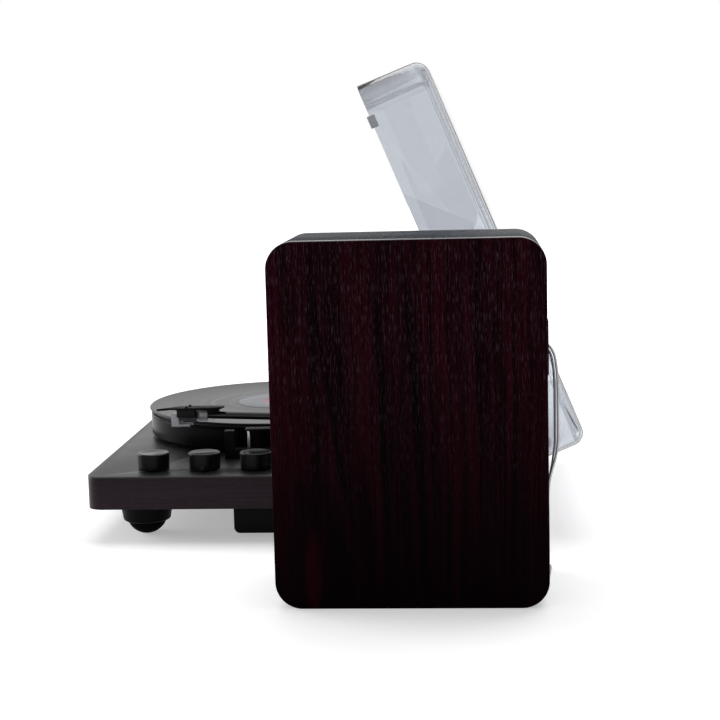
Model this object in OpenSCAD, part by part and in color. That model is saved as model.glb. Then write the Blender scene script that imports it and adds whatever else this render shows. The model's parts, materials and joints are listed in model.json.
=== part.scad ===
/* [Deck] */
// Width of the deck, left to right
deck_w = 430; // [400:1:480]
// Depth of the deck, front to back
deck_d = 406; // [380:1:440]
// Thickness of the wooden plinth with its top panel
deck_t = 33; // [30:1:45]
// Height of the plinth's underside above the floor
deck_clear = 35; // [32:1:50]
// Radius of the plinth's upright corners
deck_corner_r = 16; // [8:1:24]
// Thickness of the plinth's side walls
plinth_wall = 16; // [12:1:20]
// Thickness of the wooden board under the top panel
plinth_board_t = 8; // [6:1:10]
// Thickness of the satin top panel
top_panel_t = 1.5; // [1:0.1:3]
// Thickness of the cover plate under the plinth
bottom_cover_t = 2; // [1.5:0.1:3]
// Width of the rebate that the bottom cover lies in
cover_rebate = 6; // [4:0.5:9]
// Distance from a foot's centre to the plinth's sides
foot_inset = 50.5; // [42:0.5:60]
// Radius of a foot's collar where it meets the deck
foot_r = 27.5; // [22:0.5:29]
// Radius of the rubber dome of a foot
foot_dome_r = 21; // [17:0.2:22]
// Height of the rubber dome below its collar
foot_dome_h = 14; // [11:0.5:16]

/* [Electronics housing] */
// Distance of the housing's side from the deck's right side
housing_inset = 18; // [12:1:30]
// Width of the housing, left to right
housing_w = 120; // [100:1:140]
// Depth of the housing, front to back
housing_d = 170; // [140:1:175]
// Distance from the deck's front to the housing's front
housing_front = 145; // [135:1:150]
// Gap between the housing and the floor
housing_clear = 6; // [4:0.5:10]
// Wall of the housing
housing_wall = 2.5; // [2:0.1:4]
// Radius of the housing's long edges
housing_edge_r = 6; // [3:0.5:9]

/* [Turntable] */
// Distance from the spindle to the deck's right side
spindle_right = 258; // [250:1:270]
// Distance from the spindle to the deck's front
spindle_front = 168; // [165:1:180]
// Radius of the platter
platter_r = 149; // [147:0.5:150]
// Height of the platter's rim
platter_h = 24; // [20:0.5:26]
// Gap between the platter and the top panel
platter_clear = 4; // [3:0.5:6]
// Width of the platter's solid rim
platter_rim = 12; // [8:1:18]
// Thickness of the platter's web
platter_web = 6; // [5:0.5:8]
// Radius of the belt's running ring under the platter
drive_ring_r = 90; // [80:1:100]
// Thickness of the slipmat
mat_t = 3; // [2:0.1:4]
// Radius of the slipmat
mat_r = 147; // [140:1:148]
// Radius of the record
record_r = 150.8; // [150:0.1:151]
// Thickness of the record at its label and rim
record_t = 2; // [1.8:0.1:2.4]
// Radius of the record's label
label_r = 50; // [45:1:52]
// Radius of the spindle
spindle_r = 3.55; // [3.5:0.01:3.58]
// Height of the spindle above the record
spindle_top = 11; // [8:0.5:16]
// Angle of the motor round the spindle, from the right side
motor_angle = 140; // [130:1:160]
// Radius of the motor's can
motor_r = 17; // [14:0.5:19]
// Radius of the motor's pulley
pulley_r = 6.5; // [5:0.1:8]
// Gap between the drive ring and the pulley
pulley_gap = 14; // [10:0.5:18]
// Thickness of the drive belt
belt_t = 0.9; // [0.6:0.1:1.4]
// Height of the drive belt
belt_h = 4; // [3:0.5:5]

/* [Knobs] */
// Distance of the row of knobs from the deck's right side
knob_inset = 37; // [32:0.5:40]
// Distance from the deck's front to the first knob
knob_front = 62.5; // [56:0.5:70]
// Spacing of the knobs
knob_pitch = 52; // [46:0.5:56]
// Radius of a knob at its foot
knob_r = 15; // [13:0.25:16]
// Radius of a knob at its top
knob_top_r = 16.2; // [15:0.2:18]
// Height of a knob
knob_h = 16.9; // [14:0.1:20]
// Radius of the shafts that the knobs sit on
shaft_r = 3; // [2.5:0.1:3.5]

/* [Tonearm] */
// Distance from the spindle to the arm's pivot, left to right
pivot_right = 157.4; // [150:0.2:165]
// Distance from the spindle to the arm's pivot, front to back
pivot_back = 126.7; // [120:0.2:135]
// Height of the arm's pivot above the deck's top
pivot_up = 38.2; // [36:0.1:40]
// Angle of the parked arm, turned outwards from the front
arm_yaw = 3.3; // [2:0.1:5]
// Rise of the parked arm towards the head
arm_rise = 2.5; // [2:0.1:3]
// Length of the arm tube from the pivot to the head
arm_reach = 190; // [180:0.5:200]
// Radius of the arm tube
arm_r = 4; // [3.5:0.1:4.5]
// Angle of the head against the tube
head_offset = 14; // [10:0.5:24]
// Drop of the head against the tube
head_drop = 4.5; // [2:0.5:6]
// Radius of the counterweight
weight_r = 13; // [11:0.5:15]
// Length of the counterweight
weight_l = 22; // [18:0.5:28]
// Distance from the pivot to the counterweight
weight_back = 24; // [23:0.5:30]

/* [Dust cover] */
// Height of the dust cover
lid_h = 69; // [66:0.5:80]
// Wall of the dust cover
lid_wall = 2.6; // [2:0.1:4]
// Margin between the cover and the deck's sides
lid_margin = 3; // [1:0.5:6]
// Radius of the cover's top edges
lid_edge_r = 13; // [8:0.5:15]
// Gap between the closed cover's rim and the deck
lid_gap = 3; // [2:0.1:5]
// Angle that the cover stands open at
lid_open = 67.7; // [60:0.1:75]
// Distance of the hinge's axis behind the deck
hinge_back = 12; // [12:0.5:18]
// Depth of the hinge's axis below the deck's top
hinge_down = 18; // [17:0.5:21]
// Radius of the hinge pins
hinge_pin_r = 3; // [2.5:0.1:4]
// Distance of a hinge from the deck's side
hinge_inset = 85; // [60:1:110]

/* [Loudspeaker] */
// Width of the loudspeaker
speaker_w = 125; // [115:1:160]
// Depth of the loudspeaker
speaker_d = 231; // [210:1:260]
// Height of the loudspeaker
speaker_h = 311; // [300:1:340]
// Gap between the deck and the loudspeaker
speaker_gap = 98; // [90:1:140]
// Distance from the deck's front line to the loudspeaker's front
speaker_back = 217; // [200:1:230]
// Radius of the cabinet's rounded corners
cabinet_r = 23; // [16:1:30]
// Thickness of a veneered side panel
side_panel_t = 9; // [6:0.5:14]
// Thickness of the cabinet's wrapped walls
cabinet_wall = 10; // [8:0.5:12]
// Radius of the woofer's frame
woofer_r = 42; // [36:0.5:43]
// Height of the woofer's centre above the floor
woofer_z = 112; // [100:1:120]
// Height of the tweeter's centre above the floor
tweeter_z = 200; // [190:1:210]
// Radius of the tweeter's face plate
tweeter_r = 26; // [22:0.5:30]
// Thickness of the baffle board
baffle_t = 12; // [9:0.5:16]
// Depth of the recess that the grille fills
grille_depth = 7; // [6.5:0.5:8]
// Height of the terminal cup's centre above the floor
terminal_z = 216; // [205:1:225]

/* [Speaker cable] */
// Width of the twin cable
cable_d = 5; // [4:0.5:6]
// Gap between neighbouring turns of the coil
coil_gap = 0.6; // [0.5:0.1:1]
// Number of turns in each layer of the coil
coil_turns = 2.5; // [2.5:1:3.5]
// Radius of the coil at the middle of its turns
coil_mid_r = 27.5; // [26:0.5:30]

/* [Hidden] */
$fn = 64;
// Clearance of a shaft in its bearing, and of a piece beside its neighbour
run_gap = 0.05;
seat_gap = 0.3;

// Levels of the deck
deck_top = deck_clear + deck_t;
board_top = deck_top - top_panel_t;
board_bottom = board_top - plinth_board_t;

// The open dust cover's reach behind the deck sets the whole depth
hinge_z = deck_top - hinge_down;
lid_back_in = 2;
lid_draft = 1.5;
lid_bottom = deck_top + lid_gap;
lid_top = lid_bottom + lid_h;
edge_back = -(hinge_back + lid_back_in + lid_edge_r);
edge_up = lid_top - lid_edge_r - hinge_z;
lid_reach = hinge_back + edge_back * cos(lid_open) + edge_up * sin(lid_open) + lid_edge_r;
overall_d = deck_d + lid_reach;
overall_w = deck_w + speaker_gap + speaker_w;

// The frame's origin is under the middle of the whole object
deck_x0 = -overall_w / 2;
deck_x1 = deck_x0 + deck_w;
deck_y0 = -overall_d / 2;
deck_y1 = deck_y0 + deck_d;
deck_x = (deck_x0 + deck_x1) / 2;
spindle_x = deck_x1 - spindle_right;
spindle_y = deck_y0 + spindle_front;
hinge_y = deck_y1 + hinge_back;

// Turntable levels
platter_z = deck_top + platter_clear;
platter_top = platter_z + platter_h;
mat_top = platter_top + mat_t;
record_top = mat_top + record_t;
web_z = platter_top - platter_web;
belt_z = web_z - belt_h - 5;
motor_reach = drive_ring_r + pulley_gap + pulley_r;
motor_x = spindle_x + motor_reach * cos(motor_angle);
motor_y = spindle_y + motor_reach * sin(motor_angle);
sleeve_r = 9;
sleeve_flange_r = 15;
sleeve_flange_t = 2.5;
sleeve_bottom = deck_clear + 6;

// Tonearm places
pivot_x = spindle_x + pivot_right;
pivot_y = spindle_y + pivot_back;
pivot_z = deck_top + pivot_up;
arm_base_t = 10;
arm_base_r = 23;
pillar_r = 11;
pillar_top = pivot_z - 14;
yoke_floor = 3;
rest_reach = 132;
saddle_reach = 106;
plate_reach = 146;
rest_plate_t = 2;
rest_top = mat_top + 0.5;
rest_r = 7;
pin_reach = 142.5;
post_reach = 163;
lift_reach = 45;
lift_swing = 20;
lift_r = 3;
lift_drop = 0.5;
cue_z = deck_top + arm_base_t + 8;
cue_x = 20;
cue_pin_r = 2;
trunnion_r = 1.5;
clip_x = 6.6;
clip_up = 6.6;
clip_pin_r = 1;
clip_eye_r = 2.2;

// Loudspeaker places
speaker_x1 = overall_w / 2;
speaker_x0 = speaker_x1 - speaker_w;
speaker_x = (speaker_x0 + speaker_x1) / 2;
speaker_y0 = deck_y0 + speaker_back;
speaker_y1 = speaker_y0 + speaker_d;
bay_w = speaker_w - 2 * side_panel_t;
bay_x0 = speaker_x0 + side_panel_t;
front_z0 = cabinet_r + 2;
front_z1 = speaker_h - cabinet_r - 2;
baffle_y = speaker_y0 + grille_depth;
grille_gap = 0.4;
cloth_t = 1.2;
cup_w = 56;
cup_h = 34;
cup_depth = 12;
cup_wall = 2;
lever_w = 9;
lever_l = 13;
lever_t = 3;
lever_pin_r = 1.2;
lever_apart = 16;

// Rear panel of the deck
panel_x = spindle_x + 60;
panel_w = 150;
panel_t = 3;
panel_z = deck_clear + deck_t / 2;
panel_h = 26;
block_x = spindle_x + 80;
block_w = 76;
block_depth = 10;

// The cable's routes, measured from the spindle's foot on the floor
cable_z = cable_d / 2;
tie_t = 0.8;
coil_z = cable_z + tie_t + 0.4;
coil_x = 307;
coil_y = 205;
coil_pitch = cable_d + coil_gap;
coil_out = coil_mid_r + coil_pitch * coil_turns / 2;
coil_in = coil_mid_r - coil_pitch * coil_turns / 2;
coil_loop_rings = 24;
coil_dip = 1;
lead_end = [coil_x + coil_out, coil_y + cable_d, coil_z];
tail_start = [coil_x - coil_out, coil_y + cable_d, coil_z + coil_pitch];
cup_floor = [speaker_x - spindle_x, speaker_y1 - cup_depth + cup_wall - spindle_y, terminal_z];
block_floor = [block_x + 2.5 * lever_w / 2 + 8.75 - spindle_x, deck_y1 + panel_t - spindle_y, panel_z];
lead_points = [
    [418.5, 275, 216], [418.5, 280, 214.5], [418.5, 284, 211], [418.5, 286.5, 206],
    [418.5, 288, 199], [418.5, 289, 190], [418.5, 289.5, 178], [418.5, 289.5, 166],
    [418.5, 289.5, 154], [418.5, 289.5, 142], [418.5, 289.5, 130], [418.5, 288.5, 118],
    [418.5, 286.5, 106], [418.5, 284, 94], [418.5, 283, 82], [418.5, 283, 70],
    [418.5, 283, 58], [418.5, 283, 46], [418.5, 283, 34], [417, 283, 23.5],
    [413, 283, 14], [406, 283, 7], [397, 283, 3.4], [386, 283, 2.5], [374, 283.4, 2.5],
    [364, 284.4, 2.5], [355.5, 284.2, 2.5], [349, 279.5, 2.5], [345.5, 271, 2.5],
    [343.5, 259, 2.5], [342, 246, 2.5],
    [341.5, 234, 2.8], [341, 222, 3.5]];
tail_points = [
    [272.5, 221, 9], [272.5, 231, 7.5], [272, 242, 5], [269.5, 253, 3], [263, 263, 2.5],
    [253, 269, 2.5], [241, 271, 2.5], [229, 271, 2.5], [217, 271, 2.5], [205, 271, 2.5],
    [193, 271, 2.5], [181, 271, 2.5], [169, 271, 2.5], [157, 271, 2.5], [145, 271, 2.5],
    [133, 270, 2.5], [121, 267, 4], [112, 264, 9], [106, 261, 17], [102.5, 259, 26],
    [101, 257, 35], [100, 254.5, 43], [100, 251, 48.5], [100, 247, 51]];

// Rounded rectangle from one corner, as exact arcs
module round_rect(w, d, r) {
    translate([r, 0]) square([w - 2 * r, d]);
    translate([0, r]) square([w, d - 2 * r]);
    for (x = [r, w - r], y = [r, d - r]) translate([x, y]) circle(r);
}

// Profile drawn in depth and height, drawn out to the right
module along_x(x0, length) {
    translate([x0, 0, 0]) rotate([90, 0, 90]) linear_extrude(length) children();
}

// Round piece whose axis points to the back
module facing_front(x, y, z) {
    translate([x, y, z]) rotate([-90, 0, 0]) children();
}

module deck_outline(inset) {
    translate([deck_x0 + inset, deck_y0 + inset])
        round_rect(deck_w - 2 * inset, deck_d - 2 * inset, max(deck_corner_r - inset, 2));
}

// Places of the three knobs, front to back
function knob_y(i) = deck_y0 + knob_front + i * knob_pitch;
knob_x = deck_x1 - knob_inset;
bushing_r = shaft_r + 1.6;
bushing_h = 3;

module at_feet() {
    for (x = [deck_x0 + foot_inset, deck_x1 - foot_inset])
        for (y = [deck_y0 + foot_inset, deck_y1 - foot_inset])
            translate([x, y, 0]) children();
}

// Openings that go down through the top of the deck
module deck_holes(z, h) {
    translate([spindle_x, spindle_y, z]) cylinder(r = sleeve_r, h = h);
    translate([motor_x, motor_y, z]) cylinder(r = pulley_r + 1.5, h = h);
    for (i = [0:2]) translate([knob_x, knob_y(i), z]) cylinder(r = bushing_r, h = h);
    translate([pivot_x, pivot_y, z]) cylinder(r = 5, h = h);
}

module plinth() {
    color([0.17, 0.09, 0.11]) difference() {
        translate([0, 0, deck_clear]) linear_extrude(board_top - deck_clear) deck_outline(0);
        translate([0, 0, deck_clear - 1])
            linear_extrude(board_bottom - deck_clear + 1) deck_outline(plinth_wall);
        translate([0, 0, deck_clear - 1])
            linear_extrude(bottom_cover_t + 1) deck_outline(plinth_wall - cover_rebate);
        deck_holes(deck_clear, deck_t + 1);
        translate([panel_x - panel_w / 2 + 6, deck_y1 - plinth_wall - 1, panel_z - 9])
            cube([panel_w - 12, plinth_wall + 2, 18]);
    }
}

module top_panel() {
    color([0.13, 0.13, 0.14]) difference() {
        translate([0, 0, board_top]) linear_extrude(top_panel_t) deck_outline(0);
        deck_holes(board_top - 1, top_panel_t + 2);
    }
}

module bottom_cover() {
    color([0.1, 0.1, 0.1]) difference() {
        translate([0, 0, deck_clear])
            linear_extrude(bottom_cover_t) deck_outline(plinth_wall - cover_rebate + seat_gap);
        translate([housing_x0 + housing_wall, housing_y0 + housing_wall, deck_clear - 1])
            cube([housing_w - 2 * housing_wall, housing_d - 2 * housing_wall, bottom_cover_t + 2]);
    }
}

housing_x0 = deck_x1 - housing_inset - housing_w;
housing_y0 = deck_y0 + housing_front;

// Side profile of the housing, rounded along its two lower edges
module housing_profile(inset) {
    low = housing_clear + inset;
    high = deck_clear;
    front = housing_y0 + inset;
    back = housing_y0 + housing_d - inset;
    r = max(housing_edge_r - inset, 1);
    translate([front, low + r]) square([back - front, high - low - r]);
    translate([front + r, low]) square([back - front - 2 * r, high - low]);
    for (y = [front + r, back - r]) translate([y, low + r]) circle(r);
}

module electronics_housing() {
    slot_w = 3;
    slot_l = 40;
    color([0.05, 0.05, 0.06]) difference() {
        along_x(housing_x0, housing_w) housing_profile(0);
        difference() {
            along_x(housing_x0 + housing_wall, housing_w - 2 * housing_wall)
                housing_profile(housing_wall);
            for (x = [housing_x0 + 14, housing_x0 + housing_w - 14])
                for (y = [housing_y0 + 16, housing_y0 + housing_d - 16])
                    translate([x, y, housing_clear]) cylinder(r = 3.5, h = housing_wall + 4);
        }
        for (i = [-4:4])
            translate([housing_x0 + housing_w / 2 - slot_l / 2,
                housing_y0 + housing_d / 2 + i * 3 * slot_w - slot_w / 2, housing_clear - 1])
                cube([slot_l, slot_w, housing_wall + 2]);
    }
}

module amplifier_board() {
    board_z = housing_clear + housing_wall + 4;
    board_t = 1.6;
    margin = housing_wall + 6;
    fins = 6;
    color([0.1, 0.3, 0.16]) {
        translate([housing_x0 + margin, housing_y0 + margin, board_z])
            cube([housing_w - 2 * margin, housing_d - 2 * margin, board_t]);
        translate([housing_x0 + 20, housing_y0 + 30, board_z + board_t]) {
            cube([50, 24, 2]);
            for (i = [0:fins - 1]) translate([i * 9.6, 0, 0]) cube([2, 24, 12]);
        }
        for (i = [0:3]) translate([housing_x0 + 88, housing_y0 + 30 + i * 22, board_z + board_t])
            cylinder(r = 6, h = 13);
    }
}

module foot_collars() {
    color([0.04, 0.04, 0.05]) at_feet() rotate_extrude() polygon([
        [4, foot_dome_h], [foot_r - 5, foot_dome_h], [foot_r - 3.5, foot_dome_h + 1],
        [foot_r - 1.5, deck_clear - 8], [foot_r, deck_clear - 3], [foot_r, deck_clear],
        [4, deck_clear]]);
}

module foot_pads() {
    // The dome is cut flat where it stands on the floor
    flat = 0.5;
    color([0.03, 0.03, 0.03]) at_feet() {
        intersection() {
            translate([0, 0, foot_dome_r - flat]) sphere(r = foot_dome_r);
            cylinder(r = foot_dome_r + 1, h = foot_dome_h);
        }
        translate([0, 0, foot_dome_h - 1]) cylinder(r = 4, h = 12);
    }
}

module bearing_sleeve() {
    color([0.72, 0.6, 0.3]) translate([spindle_x, spindle_y, 0]) rotate_extrude() polygon([
        [0, sleeve_bottom], [sleeve_r, sleeve_bottom], [sleeve_r, deck_top],
        [sleeve_flange_r, deck_top], [sleeve_flange_r, deck_top + sleeve_flange_t],
        [spindle_r + run_gap, deck_top + sleeve_flange_t],
        [spindle_r + run_gap, sleeve_bottom + 2], [0, sleeve_bottom + 2]]);
}

module spindle() {
    tip = record_top + spindle_top;
    color([0.75, 0.75, 0.76]) translate([spindle_x, spindle_y, 0]) rotate_extrude() polygon([
        [0, sleeve_bottom + 2 + seat_gap], [spindle_r, sleeve_bottom + 2 + seat_gap],
        [spindle_r, tip - 3], [spindle_r * 0.8, tip - 1], [spindle_r * 0.35, tip], [0, tip]]);
}

module platter() {
    hub_r = 20;
    edge = 0.6;
    color([0.13, 0.13, 0.14]) translate([spindle_x, spindle_y, 0]) rotate_extrude($fn = 180)
        polygon([
            [spindle_r, platter_z + 1], [hub_r, platter_z + 1], [hub_r, web_z],
            [drive_ring_r - 5, web_z], [drive_ring_r - 5, belt_z - 3],
            [drive_ring_r, belt_z - 3], [drive_ring_r, web_z],
            [platter_r - platter_rim, web_z], [platter_r - platter_rim, platter_z],
            [platter_r - edge, platter_z], [platter_r, platter_z + edge],
            [platter_r, platter_top - edge], [platter_r - edge, platter_top],
            [spindle_r, platter_top]]);
}

module slipmat() {
    color([0.08, 0.08, 0.08]) translate([spindle_x, spindle_y, platter_top]) difference() {
        cylinder(r = mat_r, h = mat_t, $fn = 180);
        translate([0, 0, -1]) cylinder(r = spindle_r, h = mat_t + 2);
    }
}

module record() {
    bead = 4;
    dip = 0.3;
    color([0.04, 0.04, 0.05]) translate([spindle_x, spindle_y, mat_top])
        rotate_extrude($fn = 180) polygon([
            [spindle_r, 0], [record_r - 0.5, 0], [record_r, 0.5], [record_r, record_t - 0.5],
            [record_r - 0.5, record_t], [record_r - bead, record_t],
            [record_r - bead - 2, record_t - dip], [label_r + 3, record_t - dip],
            [label_r, record_t], [spindle_r, record_t]]);
}

module motor() {
    can_h = 20;
    boss_r = 6;
    color([0.55, 0.56, 0.58]) translate([motor_x, motor_y, 0]) rotate_extrude() polygon([
        [trunnion_r + run_gap, board_bottom - can_h], [motor_r - 1, board_bottom - can_h],
        [motor_r, board_bottom - can_h + 1], [motor_r, board_bottom], [boss_r, board_bottom],
        [boss_r, board_bottom + 4], [trunnion_r + run_gap, board_bottom + 4]]);
}

module motor_pulley() {
    color([0.78, 0.66, 0.36]) translate([motor_x, motor_y, 0]) rotate_extrude() polygon([
        [0, board_bottom - 12], [trunnion_r, board_bottom - 12], [trunnion_r, belt_z - 3],
        [pulley_r + 1, belt_z - 3], [pulley_r + 1, belt_z - 1.6], [pulley_r, belt_z - 0.6],
        [pulley_r, belt_z + belt_h + 0.6], [pulley_r + 1, belt_z + belt_h + 1.6],
        [pulley_r + 1, belt_z + belt_h + 2.4], [0, belt_z + belt_h + 2.4]]);
}

module belt_outline(extra) {
    hull() {
        translate([spindle_x, spindle_y]) circle(drive_ring_r + extra, $fn = 120);
        translate([motor_x, motor_y]) circle(pulley_r + extra, $fn = 32);
    }
}

module drive_belt() {
    color([0.03, 0.03, 0.03]) translate([0, 0, belt_z]) linear_extrude(belt_h) difference() {
        belt_outline(seat_gap + belt_t);
        belt_outline(seat_gap);
    }
}

// Switch or volume control under the deck, with its bushing up through the top
module control_body(i, body_r, body_h) {
    translate([knob_x, knob_y(i), 0]) rotate_extrude() polygon([
        [shaft_r + run_gap, board_bottom - body_h], [body_r, board_bottom - body_h],
        [body_r, board_bottom], [bushing_r, board_bottom], [bushing_r, deck_top + bushing_h],
        [shaft_r + run_gap, deck_top + bushing_h]]);
}

// Knob with its pointer turned to an angle, and the shaft that it is pressed on
module control_knob(i, body_h, pointer) {
    knob_z = deck_top + 0.6;
    pointer_w = 5;
    flare_z = knob_z + knob_h * 0.8;
    translate([knob_x, knob_y(i), 0]) {
        rotate_extrude() polygon([
            [0, knob_z + 8], [bushing_r + 2, knob_z + 8], [bushing_r + 2, knob_z],
            [knob_r, knob_z], [knob_r, flare_z], [knob_top_r, knob_z + knob_h - 0.8],
            [knob_top_r - 0.6, knob_z + knob_h], [0, knob_z + knob_h]]);
        rotate([0, 0, pointer]) translate([knob_r - 2, -pointer_w / 2, knob_z])
            cube([4, pointer_w, 5]);
        translate([0, 0, board_bottom - body_h + 2])
            cylinder(r = shaft_r, h = knob_z + 8 - seat_gap / 10 - board_bottom + body_h - 2);
    }
}

module speed_switch() { color([0.3, 0.3, 0.32]) control_body(0, 10, 9); }
module source_switch() { color([0.3, 0.3, 0.32]) control_body(1, 10, 9); }
module volume_control() { color([0.3, 0.3, 0.32]) control_body(2, 9, 11); }
module speed_knob() { color([0.06, 0.06, 0.07]) control_knob(0, 9, 150); }
module source_knob() { color([0.06, 0.06, 0.07]) control_knob(1, 9, 0); }
module volume_knob() { color([0.06, 0.06, 0.07]) control_knob(2, 11, 210); }

// Frame of the parked arm: the pivot's foot, turned outwards
module at_pivot() {
    translate([pivot_x, pivot_y, 0]) rotate([0, 0, arm_yaw]) children();
}

// Frame of the arm itself: its axis runs to the front and rises to the head
module on_arm() {
    at_pivot() translate([0, 0, pivot_z]) rotate([-arm_rise, 0, 0]) children();
}

// Frame of the head at the tube's end
module on_head() {
    on_arm() translate([0, -arm_reach, 0]) rotate([head_drop, 0, -head_offset]) children();
}

// Height of the tube's axis at a distance from the pivot
function arm_height(reach) = pivot_z + reach * tan(arm_rise);

module tonearm_base() {
    post_top = arm_height(post_reach) - 16;
    lift_x = -lift_reach * sin(lift_swing);
    lift_y = -lift_reach * cos(lift_swing);
    base_top = deck_top + arm_base_t;
    lift_post_r = lift_r + 2.6;
    color([0.05, 0.05, 0.06]) at_pivot() difference() {
        union() {
            translate([0, 0, deck_top]) linear_extrude(arm_base_t) {
                hull() {
                    circle(arm_base_r);
                    translate([0, -rest_reach]) circle(rest_r + 2);
                }
                hull() {
                    circle(arm_base_r);
                    translate([lift_x, lift_y]) circle(lift_post_r + 1.4);
                }
                translate([0, -post_reach]) translate([-5, -5]) square([10, 40]);
            }
            cylinder(r = 4.8, h = deck_top + 1);
            translate([0, 0, base_top])
                cylinder(r1 = pillar_r + 2, r2 = pillar_r, h = pillar_top - base_top);
            translate([lift_x, lift_y, base_top]) cylinder(r = lift_post_r, h = 12);
            translate([-5, -post_reach - 5, base_top]) cube([10, 10, post_top - base_top]);
            translate([cue_x - 9, -6, base_top]) cube([9, 12, 14]);
        }
        translate([0, 0, -1]) cylinder(r = 6, h = board_bottom - 2);
        translate([0, 0, pillar_top - 12]) cylinder(r = 4 + run_gap, h = 13);
        translate([lift_x, lift_y, base_top - 6]) cylinder(r = lift_r + run_gap, h = 19);
        translate([cue_x - 10, 0, cue_z]) rotate([0, 90, 0])
            cylinder(r = cue_pin_r + run_gap, h = 11);
    }
}

module arm_yoke() {
    ear_t = 3.5;
    ear_x = 9;
    color([0.55, 0.56, 0.58]) at_pivot() difference() {
        union() {
            translate([0, 0, pillar_top - 11]) cylinder(r = 4, h = 12);
            translate([0, 0, pillar_top + seat_gap]) cylinder(r = pillar_r, h = yoke_floor);
            for (side = [-1, 1]) {
                translate([side * (ear_x + ear_t / 2) - ear_t / 2, -6, pillar_top + seat_gap])
                    cube([ear_t, 12, pivot_z - pillar_top - seat_gap]);
                translate([side * (ear_x + ear_t / 2) - ear_t / 2, 0, pivot_z])
                    rotate([0, 90, 0]) cylinder(r = 6, h = ear_t);
            }
        }
        translate([-20, 0, pivot_z]) rotate([0, 90, 0])
            cylinder(r = trunnion_r + run_gap, h = 40);
    }
}

stub_r = 3.5;

module arm_tube() {
    hub_l = 17;
    color([0.06, 0.06, 0.07]) on_arm() {
        rotate([90, 0, 0]) cylinder(r = arm_r, h = arm_reach);
        rotate([-90, 0, 0]) cylinder(r = stub_r, h = weight_back + weight_l + 8);
        translate([-hub_l / 2, 0, 0]) rotate([0, 90, 0]) cylinder(r = 5.5, h = hub_l);
        translate([-12.3, 0, 0]) rotate([0, 90, 0]) cylinder(r = trunnion_r, h = 24.6);
    }
}

module counterweight() {
    color([0.1, 0.1, 0.11]) on_arm() translate([0, weight_back, 0]) rotate([-90, 0, 0])
        rotate_extrude() polygon([
            [stub_r + run_gap, 0], [weight_r - 2, 0], [weight_r - 1, 1], [weight_r - 1, 5],
            [weight_r, 6], [weight_r, weight_l - 2], [weight_r - 2, weight_l],
            [stub_r + run_gap, weight_l]]);
}

// Frame that drops with the head but runs along the tube
module along_head() {
    on_arm() translate([0, -arm_reach, 0]) rotate([head_drop, 0, 0]) children();
}

plate_z = arm_r + 2.2;
plate_t = 2;
collar_front = 3;
collar_back = 5;

module headshell() {
    saddle_w = 10;
    saddle_back = 17;
    collar_wall = 1.4;
    color([0.05, 0.05, 0.06]) {
        on_head() translate([0, 0, plate_z]) linear_extrude(plate_t) polygon([
            [-6, 22], [6, 22], [8.5, 12], [9, -24], [6, -34], [9, -38], [13, -46], [10, -47],
            [3, -38], [-3, -34], [-8, -28], [-9, -20], [-8.5, 12]]);
        difference() {
            along_head() translate([-saddle_w / 2, collar_back, 0])
                cube([saddle_w, saddle_back - collar_back, plate_z + plate_t / 2]);
            on_arm() rotate([90, 0, 0]) cylinder(r = arm_r, h = arm_reach);
        }
        on_head() for (x = [-screw_apart / 2, screw_apart / 2])
            translate([x, screw_y, plate_z + plate_t]) cylinder(r = 1.6, h = 1.4);
    }
    color([0.75, 0.75, 0.76]) on_arm() translate([0, -arm_reach - collar_front, 0])
        rotate([-90, 0, 0]) difference() {
            cylinder(r = arm_r + collar_wall, h = collar_front + collar_back);
            translate([0, 0, collar_front]) cylinder(r = arm_r, h = collar_back + 1);
        }
}

screw_apart = 11;
screw_y = -16;
cartridge_back = -6;
cartridge_l = 20;
lead_pitch = 3;
pin_l = 1.6;
pin_drop = 10.6;

module cartridge() {
    body_w = 16;
    body_h = 8;
    keel_w = 10;
    keel_h = 4;
    color([0.03, 0.03, 0.03]) on_head() translate([0, cartridge_back, plate_z]) {
        translate([-body_w / 2, -cartridge_l, -body_h]) cube([body_w, cartridge_l, body_h]);
        translate([-keel_w / 2, -cartridge_l + 2, -body_h - keel_h])
            cube([keel_w, cartridge_l - 2, keel_h]);
        for (i = [-1.5:1.5]) translate([i * 0.8 * lead_pitch, -0.5, -pin_drop]) rotate([-90, 0, 0])
            cylinder(r = 0.6, h = pin_l + 0.5);
    }
}

module stylus_carrier() {
    w = 10.8;
    length = 20;
    wall = 1.4;
    top = 8.4;
    low = -9.7;
    foot = 2.4;
    nose_l = length - cartridge_l + 7.5 - 0.4;
    nose_up = 3.2;
    color([0.72, 0.73, 0.75]) on_head()
        translate([0, cartridge_back - 7.5, plate_z - 8]) {
            translate([-w / 2, -length, low]) cube([w, top, -low - 0.4]);
            translate([-w / 2, -length, -1]) cube([w, nose_l, nose_up + 1]);
            for (x = [-w / 2, w / 2 - wall]) translate([x, -length, low])
                cube([wall, length, foot]);
            translate([0, -4, low - 0.2]) cylinder(r1 = 0.3, r2 = 0.9, h = 3);
            translate([-0.7, -length + top - 1, low + foot]) cube([1.4, length - top - 2, 0.8]);
        }
}

// Point of the head's own frame, turned to run along the tube
function turned(p) = [p[0] * cos(head_offset) + p[1] * sin(head_offset),
    p[1] * cos(head_offset) - p[0] * sin(head_offset), p[2]];

module cartridge_leads() {
    lead_r = 0.45;
    low = arm_r + 2.6;
    color([0.7, 0.7, 0.72]) along_head() for (i = [-1.5:1.5]) {
        start = turned([i * 0.8 * lead_pitch, cartridge_back + pin_l + 0.1, plate_z - pin_drop]);
        spread = 1.2 * i;
        tube([start, start + [0, 0.6, -1], [start[0] * 0.8 + spread * 0.2, -3.6, -low],
            [start[0] * 0.4 + spread * 0.6, 2, -low - 0.3], [spread, 6, -low],
            [spread, 9, -low + 0.6], [spread, 11.5, -arm_r - 1.5]], lead_r, 8);
    }
}

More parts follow.
